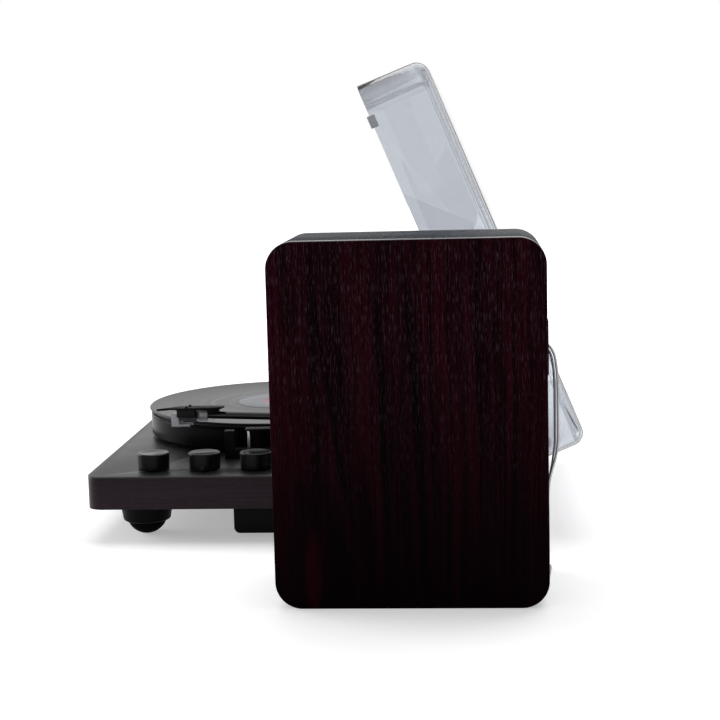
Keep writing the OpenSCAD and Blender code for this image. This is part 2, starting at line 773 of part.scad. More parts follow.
module arm_rest() {
    saddle_l = 10;
    saddle_z = arm_height(saddle_reach) - arm_r - 0.6;
    clip_z = arm_height(saddle_reach) + clip_up;
    horn_t = 4.4;
    half_w = 5;
    corner = 2;
    plate_l = plate_reach - saddle_reach + saddle_l / 2;
    color([0.07, 0.07, 0.08]) at_pivot() {
        translate([0, -rest_reach, deck_top + arm_base_t])
            cylinder(r = rest_r, h = rest_top - rest_plate_t - deck_top - arm_base_t);
        translate([0, -plate_reach, rest_top - rest_plate_t]) linear_extrude(rest_plate_t)
            translate([corner - half_w, corner]) offset(r = corner)
                square([half_w + clip_x + clip_eye_r - 2 * corner, plate_l - 2 * corner]);
        translate([0, -saddle_reach, 0]) {
            difference() {
                union() {
                    translate([-half_w, -saddle_l / 2, rest_top - rest_plate_t])
                        cube([half_w + clip_x + clip_eye_r, saddle_l - 0.5,
                            saddle_z - rest_top + rest_plate_t]);
                    translate([clip_x - clip_eye_r, -saddle_l / 2, saddle_z - 6])
                        cube([horn_t, saddle_l - 0.5, clip_z - saddle_z + 6]);
                    translate([clip_x, -saddle_l / 2, clip_z]) rotate([-90, 0, 0])
                        cylinder(r = clip_eye_r, h = saddle_l - 0.5);
                }
                translate([clip_x - 3.5, -2.3, clip_z - 3.2]) cube([7, 4.6, 7]);
            }
            translate([clip_x, -2.4, clip_z]) rotate([-90, 0, 0])
                cylinder(r = clip_pin_r, h = 4.8);
        }
    }
}

module rest_pin() {
    color([0.8, 0.8, 0.82]) at_pivot() translate([0, -pin_reach, deck_top + arm_base_t])
        cylinder(r = 2.1, h = rest_top - rest_plate_t - deck_top - arm_base_t);
}

module rest_clip() {
    clip_z = arm_height(saddle_reach) + clip_up;
    color([0.07, 0.07, 0.08]) at_pivot() translate([clip_x, -saddle_reach, clip_z]) difference() {
        union() {
            translate([0, -2, 0]) rotate([-90, 0, 0]) cylinder(r = 2.1, h = 4);
            translate([-1.1, -2, 0]) cube([2.2, 4, 12]);
            translate([-2.6, -2, 10]) cube([2, 4, 2]);
        }
        translate([0, -3, 0]) rotate([-90, 0, 0]) cylinder(r = clip_pin_r + run_gap, h = 6);
    }
}

module cue_lift() {
    bar_w = 4;
    bar_t = 2.4;
    bar_top = arm_height(lift_reach) - arm_r - lift_drop;
    lift_x = -lift_reach * sin(lift_swing);
    lift_y = -lift_reach * cos(lift_swing);
    color([0.07, 0.07, 0.08]) at_pivot() {
        rotate([0, 0, -98]) translate([0, 0, bar_top - bar_t])
            rotate_extrude(angle = 56) translate([lift_reach - bar_w / 2, 0])
                square([bar_w, bar_t]);
        translate([lift_x, lift_y, deck_top + arm_base_t - 3])
            cylinder(r = lift_r, h = bar_top - bar_t - deck_top - arm_base_t + 3);
    }
}

module cue_lever() {
    lever_l = 30;
    color([0.07, 0.07, 0.08]) at_pivot() translate([cue_x, 0, cue_z]) {
        translate([-8, 0, 0]) rotate([0, 90, 0]) cylinder(r = cue_pin_r, h = 8 + 3);
        translate([seat_gap, 0, 0]) rotate([0, 90, 0]) cylinder(r = 5, h = 3);
        translate([seat_gap + 1.5, 0, 0]) rotate([80, 0, 0]) {
            cylinder(r = 1.4, h = lever_l);
            translate([0, 0, lever_l - 6]) cylinder(r1 = 1.8, r2 = 3, h = 8);
        }
    }
}

hinge_xs = [deck_x0 + hinge_inset, deck_x1 - hinge_inset];
ear_in = 8;
ear_out = 14;
ear_r = 7;
knuckle_r = 6.2;

module hinge_brackets() {
    plate_w = 40;
    plate_t = 4;
    color([0.05, 0.05, 0.06]) for (x = hinge_xs) difference() {
        union() {
            translate([x - plate_w / 2, deck_y1, deck_clear + 3])
                cube([plate_w, plate_t, deck_t - 8]);
            for (side = [-1, 1]) {
                x0 = side > 0 ? x + ear_in : x - ear_out;
                translate([x0, deck_y1, hinge_z - ear_r])
                    cube([ear_out - ear_in, hinge_back, 2 * ear_r]);
                translate([x0, hinge_y, hinge_z]) rotate([0, 90, 0])
                    cylinder(r = ear_r, h = ear_out - ear_in);
            }
        }
        translate([x - 20, hinge_y, hinge_z]) rotate([0, 90, 0])
            cylinder(r = hinge_pin_r, h = 40);
    }
}

module hinge_pins() {
    color([0.7, 0.7, 0.72]) for (x = hinge_xs)
        translate([x - ear_out, hinge_y, hinge_z]) rotate([0, 90, 0])
            cylinder(r = hinge_pin_r, h = 2 * ear_out);
}

// What is on the cover is drawn closed and swung open about the hinge
module swung_open() {
    translate([0, hinge_y, hinge_z]) rotate([-lid_open, 0, 0])
        translate([0, -hinge_y, -hinge_z]) children();
}

module lid_leaves() {
    knuckle_l = 2 * ear_in - 2 * seat_gap;
    wall_y = deck_y1 - lid_back_in;
    color([0.05, 0.05, 0.06]) swung_open() for (x = hinge_xs) difference() {
        union() {
            translate([x - knuckle_l / 2, hinge_y, hinge_z]) rotate([0, 90, 0])
                cylinder(r = knuckle_r, h = knuckle_l);
            along_x(x - knuckle_l / 2, knuckle_l) polygon([
                [hinge_y - 4.5, hinge_z + 4], [hinge_y - 5, hinge_z + 12],
                [deck_y1 + 0.8, deck_top + 2], [wall_y, lid_bottom + 1],
                [wall_y, lid_bottom + 40], [wall_y + 3.5, lid_bottom + 40],
                [wall_y + 3.5, lid_bottom + 12], [hinge_y + 5.5, hinge_z + 8],
                [hinge_y + knuckle_r, hinge_z]]);
        }
        translate([x - 20, hinge_y, hinge_z]) rotate([0, 90, 0])
            cylinder(r = hinge_pin_r + run_gap, h = 40);
    }
}

lid_x0 = deck_x0 + lid_margin;
lid_y0 = deck_y0 + lid_margin / 2;
lid_w = deck_w - 2 * lid_margin;
lid_y1 = deck_y1 - lid_back_in;

// Blown shape of the cover, drawn in from its outside by an inset
module lid_form(inset) {
    r = lid_edge_r - inset;
    low = lid_bottom - (inset > 0 ? 1 : 0);
    hull() {
        for (x = [lid_x0 + lid_edge_r, lid_x0 + lid_w - lid_edge_r])
            for (y = [lid_y0 + lid_edge_r, lid_y1 - lid_edge_r]) {
                draft_x = x < deck_x ? lid_draft : -lid_draft;
                draft_y = y < deck_y0 + deck_d / 2 ? lid_draft : 0;
                translate([x, y, low]) cylinder(r = r, h = 0.1, $fn = 40);
                translate([x + draft_x, y + draft_y, lid_top - lid_edge_r])
                    sphere(r = r, $fn = 40);
            }
    }
}

module dust_cover() {
    color([0.75, 0.8, 0.86, 0.5]) swung_open() difference() {
        lid_form(0);
        lid_form(lid_wall);
    }
}

module lid_buffers() {
    buffer_l = 12;
    buffer_w = 7;
    buffer_back = 31;
    below = lid_gap - seat_gap;
    color([0.6, 0.62, 0.65]) swung_open() for (side = [-1, 1]) {
        wall_x = side < 0 ? lid_x0 : lid_x0 + lid_w;
        translate([wall_x - (side < 0 ? 1.5 : buffer_w - 1.5), lid_y0 + buffer_back, 0])
            difference() {
                translate([0, 0, lid_bottom - below]) cube([buffer_w, buffer_l, below + 5]);
                translate([side < 0 ? 1.1 : buffer_w - 1.5 - lid_wall - 0.4, -1, lid_bottom])
                    cube([lid_wall + 0.8, buffer_l + 2, 6]);
            }
    }
}

// Spring terminal lever, hung from its pin
lever_hub_r = lever_pin_r + 1.2;
block_h = 22;
block_wall = 2;
module lever(x, y, z) {
    translate([x - lever_w / 2, y, z]) difference() {
        union() {
            rotate([0, 90, 0]) cylinder(r = lever_hub_r, h = lever_w);
            translate([0, -lever_t / 2, -lever_l]) cube([lever_w, lever_t, lever_l]);
            translate([0, -lever_t / 2, -lever_l]) cube([lever_w, lever_t + 2, 4]);
        }
        translate([-1, 0, 0]) rotate([0, 90, 0])
            cylinder(r = lever_pin_r + run_gap, h = lever_w + 2);
    }
}

block_lever_y = deck_y1 + panel_t + 6;
block_lever_z = panel_z + block_h / 2 - block_wall - lever_hub_r - seat_gap;

// Colour of a terminal lever
module lever_colour(live) {
    color(live ? [0.6, 0.1, 0.1] : [0.05, 0.05, 0.05]) children();
}

module deck_lever(place) {
    lever(block_x + place * lever_apart, block_lever_y, block_lever_z);
}

module deck_lever_1() { lever_colour(true) deck_lever(-1.75); }
module deck_lever_2() { lever_colour(false) deck_lever(-0.75); }
module deck_lever_3() { lever_colour(true) deck_lever(0.75); }
module deck_lever_4() { lever_colour(false) deck_lever(1.75); }

module jack_panel() {
    jack_r = 4.3;
    jack_l = 8;
    jack_bore = 1.7;
    jack_x = [panel_x - 20, panel_x - 36];
    inlet_x = panel_x - 62;
    inlet_r = 5;
    color([0.05, 0.05, 0.06]) difference() {
        union() {
            translate([panel_x - panel_w / 2, deck_y1, panel_z - panel_h / 2])
                cube([panel_w, panel_t, panel_h]);
            translate([block_x - block_w / 2, deck_y1, panel_z - block_h / 2])
                cube([block_w, panel_t + block_depth, block_h]);
            for (x = jack_x) facing_front(x, deck_y1, panel_z)
                cylinder(r = jack_r, h = panel_t + jack_l);
            facing_front(inlet_x, deck_y1, panel_z) cylinder(r = inlet_r, h = panel_t + 2);
        }
        translate([block_x - block_w / 2 + block_wall, deck_y1 + panel_t,
            panel_z - block_h / 2 + block_wall])
            cube([block_w - 2 * block_wall, block_depth + 1, block_h - 2 * block_wall]);
        for (x = jack_x) facing_front(x, deck_y1 + panel_t, panel_z)
            cylinder(r = jack_bore, h = jack_l + 1);
        facing_front(inlet_x, deck_y1 - 1, panel_z) cylinder(r = inlet_r - 2.2, h = panel_t + 4);
    }
    color([0.4, 0.4, 0.42])
        translate([block_x - block_w / 2 + block_wall, block_lever_y, block_lever_z])
            rotate([0, 90, 0]) cylinder(r = lever_pin_r, h = block_w - 2 * block_wall);
}

// Side profile of the loudspeaker, drawn in by an inset
module cabinet_profile(inset) {
    translate([speaker_y0 + inset, inset])
        round_rect(speaker_d - 2 * inset, speaker_h - 2 * inset, max(cabinet_r - inset, 2));
}

module cabinet_wrap() {
    color([0.25, 0.28, 0.32]) difference() {
        along_x(bay_x0, bay_w) difference() {
            cabinet_profile(0);
            cabinet_profile(cabinet_wall);
            translate([speaker_y0 - 1, front_z0]) square([cabinet_wall + 2, front_z1 - front_z0]);
        }
        translate([speaker_x - cup_w / 2, speaker_y1 - cabinet_wall - 1, terminal_z - cup_h / 2])
            cube([cup_w, cabinet_wall + 2, cup_h]);
    }
}

module side_panel_inner() {
    color([0.16, 0.05, 0.07]) along_x(speaker_x0, side_panel_t) cabinet_profile(0);
}

module side_panel_outer() {
    color([0.16, 0.05, 0.07]) along_x(speaker_x1 - side_panel_t, side_panel_t) cabinet_profile(0);
}

woofer_hole = woofer_r - 5;
tweeter_hole = tweeter_r - 6;

module baffle() {
    color([0.06, 0.06, 0.06]) difference() {
        translate([bay_x0, baffle_y, front_z0]) cube([bay_w, baffle_t, front_z1 - front_z0]);
        facing_front(speaker_x, baffle_y - 1, woofer_z) cylinder(r = woofer_hole, h = baffle_t + 2);
        facing_front(speaker_x, baffle_y - 1, tweeter_z)
            cylinder(r = tweeter_hole, h = baffle_t + 2);
    }
}

module woofer_basket() {
    depth = 34;
    magnet_r = 30;
    magnet_t = 16;
    flange_t = 3;
    color([0.2, 0.2, 0.21]) facing_front(speaker_x, baffle_y, woofer_z)
        rotate_extrude() polygon([
            [woofer_hole - 2, -flange_t], [woofer_r, -flange_t], [woofer_r, 0],
            [woofer_hole - 0.3, 0], [woofer_hole - 0.3, baffle_t], [22, depth],
            [magnet_r, depth], [magnet_r, depth + magnet_t], [0, depth + magnet_t],
            [0, depth], [19, depth], [woofer_hole - 3, baffle_t - 2], [woofer_hole - 3, 0]]);
}

module woofer_cone() {
    roll = 2.7;
    color([0.12, 0.12, 0.13]) facing_front(speaker_x, baffle_y, woofer_z) {
        rotate_extrude() polygon([
            [0, 11], [9, 13.5], [11, 15], [woofer_hole - 9, 2], [woofer_hole - 3.2, 0.2],
            [woofer_hole - 3.2, 1.4], [woofer_hole - 8.6, 3.4], [12, 16.4], [9, 15], [0, 12.5]]);
        rotate_extrude() translate([woofer_hole - 6, 0]) difference() {
            circle(roll, $fn = 24);
            circle(roll - 0.8, $fn = 24);
            translate([-5, 0.4]) square([10, 5]);
        }
    }
}

module tweeter() {
    dome_r = 12;
    flange_t = 3;
    color([0.08, 0.08, 0.09]) facing_front(speaker_x, baffle_y, tweeter_z) {
        rotate_extrude() polygon([
            [0, -1], [dome_r, -1], [tweeter_hole - 2, -flange_t], [tweeter_r, -flange_t],
            [tweeter_r, 0], [tweeter_hole - 0.3, 0], [tweeter_hole - 0.3, baffle_t + 10],
            [0, baffle_t + 10]]);
        intersection() {
            translate([0, 0, 14]) sphere(r = 16.4);
            translate([0, 0, -5]) cylinder(r = dome_r - 1, h = 5);
        }
    }
}

module grille_frame() {
    bar = 9;
    t = grille_depth - cloth_t - seat_gap - 3.2;
    w = bay_w - 2 * grille_gap;
    h = front_z1 - front_z0 - 2 * grille_gap;
    color([0.05, 0.05, 0.05])
        translate([bay_x0 + grille_gap, speaker_y0 + cloth_t, front_z0 + grille_gap]) {
        difference() {
            cube([w, t, h]);
            translate([bar, -1, bar]) cube([w - 2 * bar, t + 2, h - 2 * bar]);
        }
        for (x = [bar / 2, w - bar / 2], z = [bar, h - bar])
            translate([x, t, z]) rotate([-90, 0, 0]) cylinder(r = 2.5, h = grille_depth - cloth_t - t);
    }
}

module grille_cloth() {
    color([0.1, 0.1, 0.11]) translate([bay_x0 + grille_gap, speaker_y0, front_z0 + grille_gap])
        cube([bay_w - 2 * grille_gap, cloth_t, front_z1 - front_z0 - 2 * grille_gap]);
}

cup_lever_y = speaker_y1 - 5.6;
cup_lever_z = terminal_z + 8;

module cup_lever(side) {
    lever(speaker_x + side * 0.8 * lever_apart, cup_lever_y, cup_lever_z);
}

module terminal_cup() {
    flange = 6;
    color([0.05, 0.05, 0.06]) difference() {
        union() {
            translate([speaker_x - cup_w / 2 - flange, speaker_y1, terminal_z - cup_h / 2 - flange])
                cube([cup_w + 2 * flange, cup_wall, cup_h + 2 * flange]);
            translate([speaker_x - cup_w / 2, speaker_y1 - cup_depth, terminal_z - cup_h / 2])
                cube([cup_w, cup_depth + 1, cup_h]);
        }
        translate([speaker_x - cup_w / 2 + cup_wall, speaker_y1 - cup_depth + cup_wall,
            terminal_z - cup_h / 2 + cup_wall])
            cube([cup_w - 2 * cup_wall, cup_depth + cup_wall + 1, cup_h - 2 * cup_wall]);
    }
    color([0.4, 0.4, 0.42])
        translate([speaker_x - cup_w / 2 + cup_wall, cup_lever_y, cup_lever_z])
            rotate([0, 90, 0]) cylinder(r = lever_pin_r, h = cup_w - 2 * cup_wall);
}

module speaker_lever_1() { lever_colour(true) cup_lever(-1); }
module speaker_lever_2() { lever_colour(false) cup_lever(1); }

// Round tube along points, with rings that turn as little as they can
function unit(v) = v / norm(v);
function ways(p) = [for (i = [0:len(p) - 1])
    unit(p[min(i + 1, len(p) - 1)] - p[max(i - 1, 0)])];
function carried(side, way) = unit(side - (side * way) * way);
function sides(w, i = 0, side = [0, 0, 1]) = i >= len(w) ? [] :
    let (s = carried(i == 0 ? (abs(w[0][2]) > 0.9 ? [1, 0, 0] : side) : side, w[i]))
        concat([s], sides(w, i + 1, s));
module tube(points, r, n) {
    w = ways(points);
    s = sides(w);
    last = len(points) - 1;
    rings = [for (i = [0:last]) let (c = cross(w[i], s[i])) for (k = [0:n - 1])
        points[i] + r * (cos(360 * (k + 0.5) / n) * s[i] + sin(360 * (k + 0.5) / n) * c)];
    walls = [for (i = [0:last - 1], k = [0:n - 1]) let (a = i * n + k, b = i * n + (k + 1) % n)
        each [[a, a + n, b], [b, a + n, b + n]]];
    caps = [[for (k = [0:n - 1]) k], [for (k = [n - 1:-1:0]) last * n + k]];
    polyhedron(points = rings, faces = concat(walls, caps));
}

// Coil: in along the floor, up a layer in half a turn, and out again on top
coil_all = 2 * coil_turns + 0.5;
function coil_r(t) = t < coil_turns ? coil_out - coil_pitch * t :
    t < coil_turns + 0.5 ? coil_in - coil_dip * sin(360 * (t - coil_turns)) :
    coil_in + coil_pitch * (t - coil_turns - 0.5);
function coil_h(t) = coil_z + coil_pitch * (t < coil_turns ? 0 : t > coil_turns + 0.5 ? 1 :
    (1 - cos(360 * (t - coil_turns))) / 2);
function coil_point(t) = [coil_x + coil_r(t) * cos(360 * t), coil_y - coil_r(t) * sin(360 * t),
    coil_h(t)];
coil_count = coil_all * coil_loop_rings;
coil_points = concat([lead_end], [for (i = [0:coil_count]) coil_point(i / coil_loop_rings)],
    [tail_start]);
coil_gaps = [for (i = [0:coil_count]) for (j = [i + coil_loop_rings / 2:coil_count])
    norm(coil_point(i / coil_loop_rings) - coil_point(j / coil_loop_rings)) - cable_d];
function run(p) = len(p) < 2 ? 0 : norm(p[1] - p[0]) + run([for (i = [1:len(p) - 1]) p[i]]);
lead_all = concat([cup_floor, cup_floor + [0, cable_d, 0]], lead_points,
    [lead_end + [0, cable_d, 0], lead_end]);
tail_all = concat([tail_start, tail_start + [0, cable_d, 0]], tail_points,
    [block_floor + [0, cable_d, 0], block_floor]);
echo("least gap between the coil's turns", min(coil_gaps));
echo("cable length", run(lead_all) + run(coil_points) + run(tail_all));

module cable_lead() {
    color([0.8, 0.83, 0.85]) translate([spindle_x, spindle_y, 0]) tube(lead_all, cable_d / 2, 8);
}

module cable_coil() {
    color([0.8, 0.83, 0.85]) translate([spindle_x, spindle_y, 0])
        tube(coil_points, cable_d / 2, 6);
}

module cable_tail() {
    color([0.8, 0.83, 0.85]) translate([spindle_x, spindle_y, 0]) tube(tail_all, cable_d / 2, 8);
}

module cable_tie() {
    w = coil_out - coil_in + cable_d + 1.2;
    h = coil_z + coil_pitch + cable_d / 2 + 0.4 - tie_t;
    tie_w = 8;
    color([0.05, 0.05, 0.05]) translate([spindle_x + coil_x, spindle_y + coil_y - coil_mid_r, 0])
        rotate([90, 0, 90]) translate([-w / 2 - tie_t, 0, -tie_w / 2]) linear_extrude(tie_w)
            difference() {
                square([w + 2 * tie_t, h + 2 * tie_t]);
                translate([tie_t, tie_t]) square([w, h]);
            }
}

plinth();
top_panel();
bottom_cover();
electronics_housing();
amplifier_board();
foot_collars();
foot_pads();
bearing_sleeve();
spindle();
platter();
slipmat();
record();
motor();
motor_pulley();
drive_belt();
speed_switch();
speed_knob();
source_switch();
source_knob();
volume_control();
volume_knob();
tonearm_base();
arm_yoke();
arm_tube();
counterweight();
headshell();
cartridge();
stylus_carrier();
cartridge_leads();
arm_rest();
rest_pin();
rest_clip();
cue_lift();
cue_lever();
hinge_brackets();
hinge_pins();
lid_leaves();
dust_cover();
lid_buffers();
jack_panel();
deck_lever_1();
deck_lever_2();
deck_lever_3();
deck_lever_4();
cabinet_wrap();
side_panel_inner();
side_panel_outer();
baffle();
woofer_basket();
woofer_cone();
tweeter();
grille_frame();
grille_cloth();
terminal_cup();
speaker_lever_1();
speaker_lever_2();
cable_lead();
cable_coil();
cable_tail();
cable_tie();
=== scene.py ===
import json
import math

import bmesh
import bpy
from mathutils import Matrix, Vector


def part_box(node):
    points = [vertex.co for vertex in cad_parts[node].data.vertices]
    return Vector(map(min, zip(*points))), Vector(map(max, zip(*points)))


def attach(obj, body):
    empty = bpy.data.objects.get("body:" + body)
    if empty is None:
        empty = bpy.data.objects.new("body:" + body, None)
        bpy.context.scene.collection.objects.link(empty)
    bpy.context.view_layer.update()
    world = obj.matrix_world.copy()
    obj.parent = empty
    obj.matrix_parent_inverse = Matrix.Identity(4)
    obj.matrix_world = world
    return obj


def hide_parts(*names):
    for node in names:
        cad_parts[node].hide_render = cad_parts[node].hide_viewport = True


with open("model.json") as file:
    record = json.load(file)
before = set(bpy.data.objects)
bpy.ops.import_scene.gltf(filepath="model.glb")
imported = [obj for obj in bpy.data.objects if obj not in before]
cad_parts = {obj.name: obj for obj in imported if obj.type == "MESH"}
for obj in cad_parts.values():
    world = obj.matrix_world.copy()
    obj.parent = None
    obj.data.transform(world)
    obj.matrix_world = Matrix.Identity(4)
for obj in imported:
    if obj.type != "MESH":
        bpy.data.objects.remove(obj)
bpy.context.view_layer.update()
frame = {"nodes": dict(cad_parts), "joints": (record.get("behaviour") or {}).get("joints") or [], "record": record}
mm = 0.001
scene = bpy.context.scene
scene.view_settings.view_transform = "Standard"
bodyOf = {n: b for b, ns in frame["record"]["behaviour"]["bodies"].items() for n in ns}
slotOf = {s["node"]: s["material_slot"] for s in frame["record"]["subparts"]}
jointOf = {j["name"]: j for j in frame["joints"]}
spindle = (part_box("spindle")[0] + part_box("spindle")[1]) / 2
spindleFoot = Vector((spindle.x, spindle.y, 0))
print("frame loaded:", len(frame["nodes"]), "nodes")

# camera: placed from the spindle, which the photograph shows best
cameraSet = dict(
    place=(1.77144, 0.22359, 0.38903),
    turn=0.0757,
    dip=0.1359,
    roll=-0.0253,
    lens=79.1,
)


def makeCamera(spec):
    ahead = Vector((-math.cos(spec["turn"]), -math.sin(spec["turn"]), 0))
    right = Vector((-math.sin(spec["turn"]), math.cos(spec["turn"]), 0))
    look = ahead * math.cos(spec["dip"]) - Vector((0, 0, math.sin(spec["dip"])))
    up = right.cross(look)
    c, s = math.cos(spec["roll"]), math.sin(spec["roll"])
    right, up = right * c + up * s, up * c - right * s
    data = bpy.data.cameras.new("camera")
    data.lens, data.sensor_width = spec["lens"], 36
    camera = bpy.data.objects.new("camera", data)
    scene.collection.objects.link(camera)
    turn = Matrix((right, up, -look)).transposed().to_4x4()
    camera.matrix_world = Matrix.Translation(spindleFoot + Vector(spec["place"])) @ turn
    scene.camera = camera


makeCamera(cameraSet)


# shader maths on sockets
class Wire:
    def __init__(self, graph, socket):
        self.graph, self.socket = graph, socket

    def maths(self, kind, *others):
        return self.graph.node("ShaderNodeMath", dict(operation=kind), [self, *others])

    def reflected(self, kind, other):
        return self.graph.node("ShaderNodeMath", dict(operation=kind), [other, self])

    def __add__(self, other):
        return self.maths("ADD", other)

    def __sub__(self, other):
        return self.maths("SUBTRACT", other)

    def __rsub__(self, other):
        return self.reflected("SUBTRACT", other)

    def __mul__(self, other):
        return self.maths("MULTIPLY", other)

    def __truediv__(self, other):
        return self.maths("DIVIDE", other)

    def __rtruediv__(self, other):
        return self.reflected("DIVIDE", other)

    def __pow__(self, other):
        return self.maths("POWER", other)

    def __rpow__(self, other):
        return self.reflected("POWER", other)

    __radd__, __rmul__ = __add__, __mul__

    def over(self, low, high):
        return self.graph.node("ShaderNodeMapRange", dict(interpolation_type="SMOOTHSTEP"),
                               {"Value": self, "From Min": low, "From Max": high})


class Graph:
    def __init__(self, tree):
        self.tree = tree

    def feed(self, socket, value):
        if isinstance(value, Wire):
            self.tree.links.new(value.socket, socket)
        else:
            socket.default_value = (*value, 1) if socket.type == "RGBA" else value

    def node(self, kind, settings=None, inputs=None, out=0):
        made = self.tree.nodes.new(kind)
        for key, value in (settings or {}).items():
            if key == "stops":
                ramp = made.color_ramp
                while len(ramp.elements) < len(value):
                    ramp.elements.new(1)
                for element, (at, colour) in zip(ramp.elements, value):
                    element.position = at
                    element.color = (*colour, 1)
            else:
                setattr(made, key, value)
        pairs = inputs.items() if isinstance(inputs, dict) else enumerate(inputs or [])
        for key, value in pairs:
            self.feed(made.inputs[key], value)
        return Wire(self, made.outputs[out])

    def place(self, centre=(0, 0, 0)):
        where = self.node("ShaderNodeTexCoord", out="Object")
        return self.node("ShaderNodeMapping", None,
                         {"Vector": where, "Location": tuple(-c for c in centre)})

    def axes(self, vector):
        node = self.node("ShaderNodeSeparateXYZ", None, [vector]).socket.node
        return [Wire(self, output) for output in node.outputs]

    def vector(self, x, y, z):
        return self.node("ShaderNodeCombineXYZ", None, [x, y, z])

    def noise(self, vector, scale, detail, rough=0.5):
        return self.node("ShaderNodeTexNoise", dict(noise_dimensions="3D"),
                         {"Vector": vector, "Scale": scale, "Detail": detail,
                          "Roughness": rough})

    def ramp(self, value, stops):
        return self.node("ShaderNodeValToRGB", dict(stops=stops), [value])

    def mix(self, share, low, high):
        made = self.tree.nodes.new("ShaderNodeMix")
        made.data_type = "RGBA"
        colours = [s for s in made.inputs if s.type == "RGBA"]
        self.feed(made.inputs["Factor"], share)
        self.feed(colours[0], low)
        self.feed(colours[1], high)
        return Wire(self, [s for s in made.outputs if s.type == "RGBA"][0])

    def bump(self, height, strength, distance):
        return self.node("ShaderNodeBump", None,
                         {"Height": height, "Strength": strength, "Distance": distance})


class Finish(Graph):
    def __init__(self, name, **sockets):
        self.material = bpy.data.materials.new(name)
        self.material.use_nodes = True
        super().__init__(self.material.node_tree)
        self.shader = self.tree.nodes["Principled BSDF"]
        self.give(**sockets)

    # specularLevel feeds "Specular IOR Level", and any other name its own socket
    def give(self, **sockets):
        for name, value in sockets.items():
            spaced = "".join(" " + c if c.isupper() else c for c in name)
            title = (spaced[0].upper() + spaced[1:]).replace("Specular", "Specular IOR")
            self.feed(self.shader.inputs[title], value)


# dark veneer: grain runs along one direction, with dark streaks and pale open pores; on the speaker's sides the
# pores come in only with height and the colour darkens towards the bottom, painted reflection of light from above
# fading downward
panelSet = dict(
    dark=(0.0010, 0.0003, 0.0007), wine=(0.0092, 0.0014, 0.0032), red=(0.0240, 0.0022, 0.0052),
    fleck=(0.062, 0.036, 0.046), warm=(0.0165, 0.0010, 0.0026),
    roughness=0.46, shine=0.01, edgeCoat=0.75,
    sway=0.014, broad=30, strand=150, fibre=700,
    # painted reflection of light from above: the pale pores come in from 4 cm to 30 cm up, and below 25 cm the
    # colour darkens towards the bottom
    pores=0.66, paintedSheenFrom=(0.04, 0.30), fade=(0.0, 0.25),
    # flames: across, middle, width, height, share
    patches=[(-0.0045, 0.172, 0.018, 0.075, 0.55), (0.0040, 0.030, 0.009, 0.042, 0.8)],
    # streaks: across, lean, from, to, half width, depth
    streaks=[(0.0068, -0.136, 0.06, 0.300, 0.0028, 1.0), (0.023, -0.05, 0.15, 0.30, 0.006, 0.6),
             (0.063, -0.02, -0.02, 0.285, 0.0026, 0.95), (0.088, -0.035, -0.1, 0.30, 0.0042, 1.0),
             (0.047, -0.04, -0.1, 0.13, 0.0075, 1.0), (0.020, -0.11, -0.1, 0.10, 0.0085, 1.0),
             (0.118, 0.0, -0.1, 0.09, 0.002, 0.7), (0.173, 0.0, -0.1, 0.14, 0.0035, 0.8),
             (0.186, 0.0, 0.0, 0.30, 0.0030, 0.6)],
)
plinthSet = dict(
    dark=(0.0036, 0.0010, 0.0026), wine=(0.0100, 0.0024, 0.0062), red=(0.0185, 0.0052, 0.0120),
    fleck=(0.040, 0.024, 0.034), roughness=0.32, shine=0.13, edgeCoat=0.3,
    sway=0.003, broad=70, strand=420, fibre=1500,
    pores=0.4, paintedSheenFrom=None, fade=None, patches=[], streaks=[],
)
lacquerIor = 1.9


